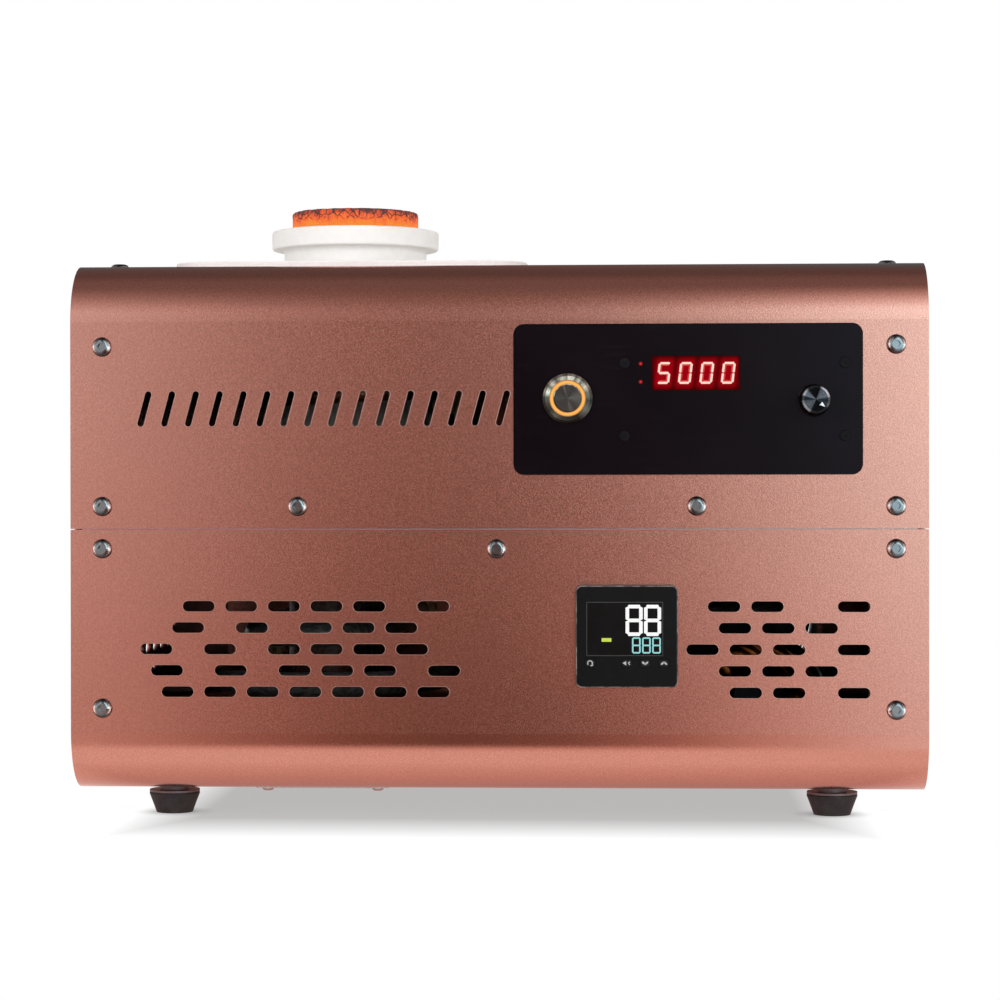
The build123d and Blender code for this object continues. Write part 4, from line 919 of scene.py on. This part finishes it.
class FURNACE_OT_slot_lips(bpy.types.Operator):
    """Rounds the edges of the slots in the front and the sides"""

    bl_idname = "furnace.slot_lips"
    bl_label = "Slot lips"

    def execute(self, context):
        edge = bare_edge()
        one = slot_lip(SLOT_LENGTH, SLOT_RADIUS)
        front = vent_places(LEFT_SLOTS_START, LEFT_SLOTS) + vent_places(RIGHT_SLOTS_START, RIGHT_SLOTS)
        lips = joined([copy_of(one, place) for place in front])
        finished(lips, "vent_slot_lips", "case", edge)
        for side, name in ((1, "right_slot_lips"), (-1, "left_slot_lips")):
            places = [
                Vector((
                    side * SIDE,
                    SIDE_SLOT_MIDDLE[0] + (column - (SIDE_SLOT_COLUMNS - 1) / 2) * SIDE_SLOT_PITCH,
                    SIDE_SLOT_MIDDLE[1] + (row - (SIDE_SLOT_ROWS - 1) / 2) * SLOT_ROW_PITCH,
                ))
                for column in range(SIDE_SLOT_COLUMNS)
                for row in range(SIDE_SLOT_ROWS)
            ]
            lips = joined([copy_of(one, place, (0, 0, pi / 2)) for place in places])
            finished(lips, name, "case", edge)
        discard(one)
        one = slot_lip(LOUVRE_LENGTH, LOUVRE_RADIUS)
        start = LOUVRE_MIDDLE - Vector(((LOUVRE_COUNT - 1) / 2 * LOUVRE_PITCH, 0, 0))
        lips = joined([
            copy_of(one, start + Vector((number * LOUVRE_PITCH, 0, 0)), (0, LOUVRE_SLANT - pi / 2, 0))
            for number in range(LOUVRE_COUNT)
        ])
        discard(one)
        finished(lips, "louvre_lips", "case", edge)
        return {"FINISHED"}


# ---- crucible and liner ----
def clouds(name, size, depth):
    texture = bpy.data.textures.new(name, "CLOUDS")
    texture.noise_scale = size
    texture.noise_depth = depth
    return texture


def roughened(piece, voxel, strength, grain, depth):
    """Even faces over the whole piece, pushed in and out like a surface long in use."""
    apply_modifier(piece, "REMESH", mode="VOXEL", voxel_size=voxel)
    texture = clouds(piece.name + "_surface", grain, depth)
    apply_modifier(piece, "DISPLACE", texture=texture, strength=strength, mid_level=0.62)


class FURNACE_OT_crucible(bpy.types.Operator):
    """Models the glowing graphite crucible with its scaled, chipped rim"""

    bl_idname = "furnace.crucible"
    bl_label = "Crucible"

    def execute(self, context):
        radius = 32 * MM
        mouth = 25.5 * MM
        well = 22.5 * MM
        floor = 10 * MM
        height = CRUCIBLE_RIM - CRUCIBLE_LOW
        cup = new_cylinder(radius, height, rise=height / 2)
        choose(cup, "faces", facing_up(height))
        bpy.ops.mesh.inset(thickness=radius - mouth)
        grow((0, 0, floor - height))
        scale_flat(well / mouth)
        choose(cup, "edges", lambda place, normal: abs(place.z - height) < NEAR)
        bpy.ops.mesh.bevel(offset=0.9 * MM, segments=3)
        close_edit()
        roughened(cup, 0.95 * MM, sizes().rim_scale, 2.6 * MM, 3)
        put(cup, (CRUCIBLE.x, CRUCIBLE.y, CRUCIBLE_LOW))
        finished(cup, "glowing_crucible", "crucible", glowing_graphite(), smooth=60)
        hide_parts("graphite_crucible")
        return {"FINISHED"}


class FURNACE_OT_liner(bpy.types.Operator):
    """Models the cast ceramic liner with its flange"""

    bl_idname = "furnace.liner"
    bl_label = "Liner"

    def execute(self, context):
        flange = 42.3 * MM
        body = 36.1 * MM
        bore = 32.6 * MM
        flange_height = 9.5 * MM
        top = LINER_TOP - LINER_LOW
        step = top - flange_height
        liner = new_cylinder(body, step, rise=step / 2)
        choose(liner, "faces", facing_up(step))
        grow((0, 0, 0))
        scale_flat(flange / body)
        grow((0, 0, flange_height))
        bpy.ops.mesh.inset(thickness=flange - bore)
        grow((0, 0, CRUCIBLE_LOW - LINER_LOW - top))
        outer = flange - 1 * MM
        choose(liner, "edges", lambda place, normal: place.xy.length > outer and place.z > step - NEAR)
        bpy.ops.mesh.bevel(offset=0.9 * MM, segments=3)
        close_edit()
        roughened(liner, 0.85 * MM, sizes().liner_unevenness, 7 * MM, 2)
        put(liner, (CRUCIBLE.x, CRUCIBLE.y, LINER_LOW))
        ceramic = fired_ceramic("fired_liner", (0.8, 0.8, 0.79), TOP, LINER_TOP)
        finished(liner, "cast_liner", "case", ceramic, smooth=50)
        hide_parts("crucible_liner")
        return {"FINISHED"}


# ---- knob ----
KNOB_SIDES = 120
KNOB_MARK_ANGLE = radians(130)


class FURNACE_OT_knob(bpy.types.Operator):
    """Models the power knob with its knurl, turned face and pointer"""

    bl_idname = "furnace.knob"
    bl_label = "Power knob"

    def execute(self, context):
        low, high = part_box("power_knob")
        length = high.y - low.y
        skirt = (high.x - low.x) / 2
        face = 6.6 * MM
        knob = new_cylinder(skirt, length, KNOB_SIDES, rise=length / 2)
        choose(knob, "verts", lambda place, normal: place.z > length - NEAR)
        scale_flat(face / skirt)
        choose(knob, "edges", lambda place, normal: abs(place.z - length) < NEAR)
        bpy.ops.mesh.bevel(offset=1.1 * MM, segments=2)
        choose(knob, "faces", facing_up(length))
        bpy.ops.mesh.inset(thickness=0.25 * MM, depth=-0.12 * MM)
        bpy.ops.mesh.inset(thickness=0.2 * MM, depth=0)
        choose(knob, "faces", every_other_side_face(length))
        bpy.ops.mesh.inset(use_individual=True, thickness=0.02 * MM, depth=-0.15 * MM)
        close_edit()
        put(knob, (KNOB.x, high.y, KNOB.z), FACING_FRONT)
        black = turned_metal(
            "black_anodised_knob", (0.18, 0.19, 0.215), 0.25, KNOB, KNOB_PAINTED_SHEEN,
            pitch=0.25 * MM, depth=0.04 * MM, rim=5.4 * MM,
        )
        finished(knob, "knurled_knob", "dial", black, smooth=30)
        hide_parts("power_knob")
        self.pointer(low.y)
        return {"FINISHED"}

    def pointer(self, face):
        """White wedge let into the face near its edge."""
        wedge = new_cylinder(1.1 * MM, 0.3 * MM, 3)
        choose(wedge, "verts", lambda place, normal: place.y > 0.5 * MM)
        shift((0, 0.9 * MM, 0))
        choose(wedge, "edges", lambda place, normal: place.z > 0.1 * MM)
        bpy.ops.mesh.bevel(offset=0.08 * MM, segments=2)
        close_edit()
        put(wedge, (0, 3.4 * MM, 0))
        put(wedge, (0, 0, 0), (0, 0, -KNOB_MARK_ANGLE))
        put(wedge, (KNOB.x, face + 0.05 * MM, KNOB.z), FACING_FRONT)
        white = plastic("pointer_paint", (0.75, 0.78, 0.8), 0.45, dust=0.2)
        finished(wedge, "knob_pointer", "dial", white)


def every_other_side_face(length):
    """Side faces of the knob, one in two."""
    step = 2 * pi / KNOB_SIDES

    def test(centre, normal):
        if abs(normal.z) > 0.3 or not 0.2 * length < centre.z < 0.8 * length:
            return False
        turn = Vector((1, 0)).angle_signed(centre.xy) % (2 * pi)
        return int(turn / step) % 2 == 0

    return test


# ---- displays ----
# Each bar of a digit: its middle in parts of the width and of half the height, and whether it is upright
SEVEN_BARS = {
    "a": (0, 1, False), "b": (0.5, 0.5, True), "c": (0.5, -0.5, True), "d": (0, -1, False),
    "e": (-0.5, -0.5, True), "f": (-0.5, 0.5, True), "g": (0, 0, False),
}
BARS_OF = {"0": "abcdef", "5": "acdfg", "8": "abcdefg"}
DISPLAY_RELIEF = 0.12 * MM
# Places from the middle of the controller's window
READING_OFFSET = Vector((8.6 * MM, 0, 3.95 * MM))
TARGET_OFFSET = Vector((10 * MM, 0, -7.6 * MM))
OUTPUT_OFFSET = Vector((-8.4 * MM, 0, -5.1 * MM))


def digit_bars(text, height, width, stroke, gap, lean):
    """Places of the lit bars of one digit about its middle: (x, z, length, turn)."""
    across = width - stroke
    down = (height - stroke) / 2
    places = []
    for letter in BARS_OF[text]:
        x, z, upright = SEVEN_BARS[letter]
        x, z = x * across, z * down
        length = (down if upright else across) - gap
        turn = pi / 2 - lean if upright else 0
        places.append((x + z * sin(lean), z, length, turn))
    return places


def lit_digits(text, centre, pitch, height, width, stroke, gap=0.0, lean=0.0):
    """A row of seven-bar digits that faces the front, joined into one piece."""
    shapes = {}
    bars = []
    for number, character in enumerate(text):
        along = (number - (len(text) - 1) / 2) * pitch
        for x, z, length, turn in digit_bars(character, height, width, stroke, gap, lean):
            if length not in shapes:
                shapes[length] = drawn_hexagon(length, stroke, DISPLAY_RELIEF)
            twin = copy_of(shapes[length], (0, 0, 0), (0, 0, turn))
            put(twin, centre + Vector((along + x, 0, z)), FACING_FRONT)
            bars.append(twin)
    for shape in shapes.values():
        discard(shape)
    return joined(bars)


def drawn_hexagon(length, stroke, thickness):
    """One bar along X with pointed ends that faces up."""
    made = new_cylinder(stroke / 2, thickness, 6, pi / 6)
    bpy.ops.mesh.select_all(action="SELECT")
    bpy.ops.transform.resize(value=(1, 1 / cos(pi / 6), 1))
    part_ends(made, (length - stroke) / 2)
    return close_edit()


class FURNACE_OT_power_display(bpy.types.Operator):
    """Lights the four red digits of the power display"""

    bl_idname = "furnace.power_display"
    bl_label = "Power display"

    def execute(self, context):
        size = sizes()
        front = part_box("display_module")[0].y
        shape = (size.digit_pitch, size.digit_height, size.digit_width)
        stroke, lean = size.digit_stroke, size.digit_lean
        place = Vector((DISPLAY.x, front - 0.03 * MM, DISPLAY.z))
        halo = lit_digits("5000", place, *shape, stroke=stroke * 1.7, lean=lean)
        red = lit("digit_halo", tuple(colours().digit_halo), 0.7, unlit=(0.002, 0.001, 0.001))
        finished(halo, "power_digit_halo", "case", red)
        place -= Vector((0, 0.08 * MM, 0))
        digits = lit_digits("5000", place, *shape, stroke=stroke, gap=0.3 * MM, lean=lean)
        pale = lit("power_digit_light", tuple(colours().digits), 1.0)
        finished(digits, "power_digits", "case", pale)
        return {"FINISHED"}


def flat_plate(width, height, thickness):
    """Thin plate that faces up, with its edges just broken."""
    start_fresh()
    bpy.ops.mesh.primitive_cube_add(size=1, scale=(width, height, thickness))
    plate = open_for_edit()
    choose(plate, "edges", lambda place, normal: abs(place.z) < 0.1 * thickness)
    bpy.ops.mesh.bevel(offset=0.12 * MM, segments=2)
    return close_edit()


def window_rim(width, height):
    """Thin raised line round the controller's window."""
    rim = flat_plate(width, height, DISPLAY_RELIEF)
    bpy.ops.object.mode_set(mode="EDIT")
    choose(rim, "faces", lambda place, normal: abs(normal.z) > 0.9)
    bpy.ops.mesh.inset(thickness=0.35 * MM)
    bpy.ops.mesh.bridge_edge_loops()
    return close_edit()


class FURNACE_OT_controller_display(bpy.types.Operator):
    """Lights the controller's reading, target and output bar"""

    bl_idname = "furnace.controller_display"
    bl_label = "Controller display"

    def execute(self, context):
        size, pick = sizes(), colours()
        low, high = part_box("controller_window")
        glass = Vector((WINDOW.x, low.y - 0.02 * MM, WINDOW.z))
        reading = lit_digits(
            "88", glass + READING_OFFSET, size.reading_pitch, size.reading_height,
            size.reading_width, size.reading_stroke, gap=0.3 * MM,
        )
        finished(reading, "reading_digits", "case", lit("reading_light", tuple(pick.reading)))
        target = lit_digits(
            "888", glass + TARGET_OFFSET, size.target_pitch, size.target_height,
            size.target_width, size.target_stroke, gap=0.05 * MM,
        )
        finished(target, "target_digits", "case", lit("target_light", tuple(pick.target)))
        dash = flat_plate(4.5 * MM, 1.7 * MM, DISPLAY_RELIEF)
        put(dash, glass + OUTPUT_OFFSET, FACING_FRONT)
        finished(dash, "output_bar", "case", lit("output_bar_light", tuple(pick.bar)))
        rim = window_rim(high.x - low.x, high.z - low.z)
        put(rim, glass, FACING_FRONT)
        paint = plastic("window_rim_paint", (0.035, 0.033, 0.034), 0.5)
        finished(rim, "window_rim", "case", paint)
        return {"FINISHED"}


# ---- key marks ----
MARK_THICKNESS = 0.06 * MM
ARM_SLANT = radians(40)   # turn of a chevron's bars


def flat_bar(length, width):
    """Printed bar along X that faces up, with rounded ends."""
    made = new_cylinder(width / 2, MARK_THICKNESS, 16, pi / 16)
    part_ends(made, (length - width) / 2)
    return close_edit()


def arrow_head(turn):
    """Chevron of two bars that points up before it is turned."""
    arms = []
    for side in (-1, 1):
        arm = flat_bar(2.0 * MM, 0.85 * MM)
        put(arm, (side * 0.62 * MM, 0, 0), (0, 0, -side * ARM_SLANT))
        arms.append(arm)
    head = joined(arms)
    put(head, (0, 0, 0), (0, 0, turn))
    return head


def loop_mark():
    """Open ring with a small arrow head."""
    start_fresh()
    bpy.ops.mesh.primitive_circle_add(vertices=28, radius=1.35 * MM)
    ring = open_for_edit()
    choose(ring, "verts", lambda place, normal: place.y < -0.8 * MM and abs(place.x) < 0.9 * MM)
    bpy.ops.mesh.delete(type="VERT")
    choose(ring, "edges", lambda place, normal: True)
    bpy.ops.mesh.extrude_edges_move(TRANSFORM_OT_translate={"value": (0, 0, 0)})
    bpy.ops.transform.resize(value=(0.62, 0.62, 1), center_override=(0, 0, 0))
    close_edit()
    apply_modifier(ring, "SOLIDIFY", thickness=MARK_THICKNESS, offset=0)
    tip = flat_bar(1.3 * MM, 0.6 * MM)
    put(tip, (0.8 * MM, -1.05 * MM, 0), (0, 0, radians(20)))
    return joined([ring, tip])


def shift_mark():
    """Solid arrow to the left followed by a short chevron."""
    arrow = new_cylinder(1.15 * MM, MARK_THICKNESS, 3, pi / 2)
    close_edit()
    put(arrow, (-0.9 * MM, 0, 0))
    arms = []
    for side in (-1, 1):
        arm = flat_bar(1.1 * MM, 0.45 * MM)
        put(arm, (1.0 * MM, side * 0.35 * MM, 0), (0, 0, side * ARM_SLANT))
        arms.append(arm)
    return joined([arrow, *arms])


class FURNACE_OT_key_marks(bpy.types.Operator):
    """Prints a mark on each of the controller's keys"""

    bl_idname = "furnace.key_marks"
    bl_label = "Key marks"

    def execute(self, context):
        ink = plastic("key_ink", tuple(colours().marks), 0.5, dust=0.1)
        marks = (
            ("menu_key", "menu_button", "loop_mark", loop_mark()),
            ("shift_key", "shift_button", "shift_mark", shift_mark()),
            ("down_key", "down_button", "down_mark", arrow_head(pi)),
            ("up_key", "up_button", "up_mark", arrow_head(0)),
        )
        for node, body, name, mark in marks:
            place = middle(node)
            put(mark, (place.x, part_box(node)[0].y - MARK_THICKNESS / 4, place.z), FACING_FRONT)
            finished(mark, name, body, ink)
        return {"FINISHED"}


# ---- studio ----
CAMERA_PLACE = Vector((62.68 * MM, -1442.54 * MM, 156.69 * MM))
CAMERA_YAW = radians(2.7402)
CAMERA_PITCH = radians(-0.2599)
CAMERA_ROLL = radians(-0.0735)
LIT_POINT = Vector((0, 0, 140 * MM))


def camera_matrix():
    """Turn and place of the camera, from its yaw, pitch and roll."""
    forward = Vector((
        -sin(CAMERA_YAW) * cos(CAMERA_PITCH), cos(CAMERA_YAW) * cos(CAMERA_PITCH), sin(CAMERA_PITCH),
    ))
    across = Vector((cos(CAMERA_YAW), sin(CAMERA_YAW), 0))
    up = across.cross(forward)
    rolled = across * cos(CAMERA_ROLL) + up * sin(CAMERA_ROLL)
    upright = up * cos(CAMERA_ROLL) - across * sin(CAMERA_ROLL)
    turn = Matrix((rolled, upright, -forward)).transposed().to_4x4()
    return Matrix.Translation(CAMERA_PLACE) @ turn


def lamp(name, place, width, height, power):
    """Area lamp that shines on the middle of the furnace and isn't seen itself."""
    data = bpy.data.lights.new(name, "AREA")
    data.shape = "RECTANGLE"
    data.size = width
    data.size_y = height
    data.energy = power
    light = bpy.data.objects.new(name, data)
    bpy.context.scene.collection.objects.link(light)
    light.location = place
    light.rotation_euler = (LIT_POINT - Vector(place)).to_track_quat("-Z", "Y").to_euler()
    light.visible_camera = False
    light.visible_glossy = False
    return light


# The room that metal mirrors. Directions are the parts of a unit vector: across, away and up.
# Tones of the walls: (across, level)
ROOM_TONES = (
    (-1.0, 0.8), (-0.5, 1.0), (-0.3, 0.97), (-0.2, 0.78), (-0.14, 0.34), (-0.1, 0.17), (-0.06, 0.13),
    (-0.02, 0.18), (0.02, 0.38), (0.06, 0.8), (0.1, 1.35), (0.25, 1.9), (0.55, 1.7), (1.0, 0.9),
)
ROOM_CEILING = 0.19
ROOM_BACK = 0.12
ROOM_ASIDE = 0.55
ROOM_LOW, ROOM_HIGH = -0.085, 0.055   # up, at the foot and the top of the flat front
ROOM_MIDDLE = (0.06, 1.1, 0.16)   # place from which the floor in front is given the room's tones
DIM_TINT = (1.35, 0.82, 0.7)
BRIGHT_TINT = (0.84, 1.18, 1.32)
FLOOR_TINT = (1.0, 0.88, 0.85)
BENEATH_TINT = (1.05, 0.66, 0.6)
CONTACT_REACH = 13 * MM
FLOOR_SIZE = 12


def room_light(finish, direction):
    """Tint and level of what metal mirrors: two bright walls, a dim gap between them and a dim ceiling.

    The walls are even towards the floor and harsher higher up. Behind is dim, and high up on both sides even.
    """
    across, away, up = finish.split(direction)
    tones = [((1 + at) / 2, (tone / 2, tone / 2, tone / 2)) for at, tone in ROOM_TONES]
    walls = finish.times(finish.ramp(finish.between(across, -1, 1), *tones), 2.0)
    lifted = finish.times(walls, finish.between(up, ROOM_LOW, ROOM_HIGH, 1.0, 1.9))
    cool = finish.between(lifted, 0.2, 2.0)
    walls = finish.times(
        finish.maths("POWER", walls, finish.between(up, ROOM_LOW, ROOM_HIGH, 0.8, 1.15)),
        finish.between(up, ROOM_LOW, ROOM_HIGH, 0.7, 1.24),
        finish.between(up, ROOM_HIGH, 0.3, 1.0, 1.15),
        finish.between(up, -0.35, ROOM_LOW, 1.7, 1.0),
    )
    level = finish.blend(finish.between(away, 0.1, -0.3), 1.0, walls)
    overhead = finish.between(up, 0.4, 0.95)
    level = finish.blend(overhead, level, ROOM_CEILING)
    cool = finish.blend(overhead, cool, 0.4)
    behind = finish.times(finish.between(up, 0.02, 0.1), finish.between(away, 0.0, 0.3))
    level = finish.blend(behind, level, ROOM_BACK)
    aside = finish.times(finish.between(finish.size_of(across), 0.28, 0.45), finish.between(up, 0.1, 0.2))
    level = finish.blend(aside, level, ROOM_ASIDE)
    cool = finish.blend(aside, cool, 0.5)
    return finish.mix(cool, DIM_TINT, BRIGHT_TINT), level


def ray_kinds(finish):
    """Whether a ray comes from the camera, and whether from a mirror or through glass."""
    path = finish.nodes.new("ShaderNodeLightPath")
    mirrored = finish.most(path.outputs["Is Glossy Ray"], path.outputs["Is Transmission Ray"])
    return path.outputs["Is Camera Ray"], mirrored


def mirrored_floor(finish, y, uncovered):
    """Tint and level of the floor in metal: shaded under the furnace, and the room's further in front."""
    clear = finish.between(uncovered, -40 * MM, 10 * MM)
    direction = finish.node("VectorMath", finish.mapped(centre=ROOM_MIDDLE), operation="NORMALIZE")
    room_tint, room_level = room_light(finish, direction)
    in_front = finish.between(y, -0.2, -0.23)
    tint = finish.mix(in_front, finish.mix(clear, BENEATH_TINT, FLOOR_TINT), room_tint)
    return tint, finish.blend(in_front, finish.blend(clear, 0.5, 0.95), room_level)


def floor_finish():
    """Pale floor with a painted shadow under the furnace and round its feet, over a little of its real
    shadow.

    It turns into the white backdrop just outside the furnace.
    """
    finish = Finish("pale_floor", (0.9, 0.9, 0.9), 0.7)
    tone = finish.ramp(finish.noise(0.3, 3), (0.3, (0.9, 0.9, 0.9)), (0.7, (0.92, 0.92, 0.92)))
    finish.put(Base_Color=tone)
    place = finish.split(finish.mapped(centre=(0, (FACE + BACK) / 2, 0)))
    across = finish.size_of(place["X"])
    before = finish.maths("SUBTRACT", finish.size_of(place["Y"]), (BACK - FACE) / 2)
    beside_feet = finish.between(across, FEET_REACH - 28 * MM, FEET_REACH + 4 * MM)
    outside = finish.most(beside_feet, finish.between(before, -20 * MM, 50 * MM))
    # Painted shadow: the camera sees the floor's glow halved under the furnace and darker round the feet.
    occlusion_for_painted_shadow = finish.node("AmbientOcclusion", None, CONTACT_REACH, output="AO")
    shaded = finish.between(occlusion_for_painted_shadow, 0.1, 0.9, 0.3, 1)
    level = finish.times(finish.between(outside, 0, 1, 0.52, 1), shaded)
    seen, mirrored = ray_kinds(finish)
    uncovered = finish.most(finish.maths("SUBTRACT", across, RIGHT), before)
    mirrored_tint, mirrored_level = mirrored_floor(finish, place["Y"], uncovered)
    tint = finish.mix(mirrored, (1, 1, 1), mirrored_tint)
    white = finish.node("Emission", tint, finish.blend(mirrored, level, mirrored_level))
    # Under the furnace the camera sees mostly this painted glow, and a little of the lit floor.
    backdrop = finish.times(seen, finish.between(outside, 0, 1, 0.9, 1))
    both = finish.node("MixShader", finish.most(backdrop, mirrored), finish.shader.outputs["BSDF"], white)
    finish.feed(finish.nodes["Material Output"].inputs["Surface"], both)
    return finish.material


class Sky(Finish):
    """Node tree of the world, with the same short calls."""

    def __init__(self, name):
        self.world = bpy.data.worlds.new(name)
        self.world.use_nodes = True
        self.nodes, self.links = self.world.node_tree.nodes, self.world.node_tree.links
        self.place = self.nodes.new("ShaderNodeTexCoord").outputs["Generated"]


def white_world(fill):
    """White to the camera, the graded room to mirrors and an even fill to all else."""
    sky = Sky("white_studio")
    seen, mirrored = ray_kinds(sky)
    tint, mirrored_level = room_light(sky, sky.place)
    level = sky.blend(seen, fill, 1.0)
    background = sky.nodes["Background"]
    sky.feed(background.inputs["Color"], sky.mix(mirrored, (1, 1, 1), tint))
    sky.feed(background.inputs["Strength"], sky.blend(mirrored, level, mirrored_level))
    bpy.context.scene.world = sky.world


class FURNACE_OT_studio(bpy.types.Operator):
    """Sets up the floor, backdrop, lamps and camera"""

    bl_idname = "furnace.studio"
    bl_label = "Studio"

    def execute(self, context):
        setting = studio()
        context.scene.view_settings.view_transform = "Standard"
        data = bpy.data.cameras.new("studio_camera")
        data.lens = setting.lens
        data.sensor_width = 36
        data.clip_start = 0.05
        data.clip_end = 50
        camera = bpy.data.objects.new("studio_camera", data)
        context.scene.collection.objects.link(camera)
        camera.matrix_world = camera_matrix()
        context.scene.camera = camera
        start_fresh()
        bpy.ops.mesh.primitive_grid_add(x_subdivisions=8, y_subdivisions=8, size=FLOOR_SIZE)
        floor = bpy.context.object
        floor.name = "studio_floor"
        floor.data.materials.append(floor_finish())
        lamp("left_lamp", (-1.5, -1.6, 0.75), 1.3, 1.3, setting.lamp)
        lamp("right_lamp", (1.3, -1.7, 0.7), 1.2, 1.2, setting.lamp)
        lamp("top_lamp", (0.0, 1.1, 1.7), 1.6, 1.0, setting.top_lamp)
        white_world(setting.fill)
        return {"FINISHED"}


# ---- panel in the sidebar ----
STEPS = (
    FURNACE_OT_studio,
    FURNACE_OT_finishes,
    FURNACE_OT_slot_lips,
    FURNACE_OT_crucible,
    FURNACE_OT_liner,
    FURNACE_OT_knob,
    FURNACE_OT_power_display,
    FURNACE_OT_controller_display,
    FURNACE_OT_key_marks,
)


class FURNACE_PT_pieces(bpy.types.Panel):
    """Lists the furnace's pieces and settings"""

    bl_label = "Gold Melting Furnace"
    bl_idname = "FURNACE_PT_pieces"
    bl_space_type = "VIEW_3D"
    bl_region_type = "UI"
    bl_category = "Furnace"

    def draw(self, context):
        for step in STEPS:
            self.layout.operator(step.bl_idname)
        for group in (colours(), sizes(), studio()):
            box = self.layout.box()
            for name in group.__annotations__:
                box.prop(group, name)


SETTINGS = {
    "furnace_colours": FurnaceColours,
    "furnace_sizes": FurnaceSizes,
    "furnace_studio": StudioSettings,
}


def register():
    for cls in (*SETTINGS.values(), *STEPS, FURNACE_PT_pieces):
        bpy.utils.register_class(cls)
    for name, group in SETTINGS.items():
        setattr(bpy.types.Scene, name, bpy.props.PointerProperty(type=group))


def unregister():
    for name in SETTINGS:
        delattr(bpy.types.Scene, name)
    for cls in reversed((*SETTINGS.values(), *STEPS, FURNACE_PT_pieces)):
        bpy.utils.unregister_class(cls)


def main():
    register()
    for step in STEPS:
        category, name = step.bl_idname.split(".")
        getattr(getattr(bpy.ops, category), name)()


if __name__ == "__main__":
    main()
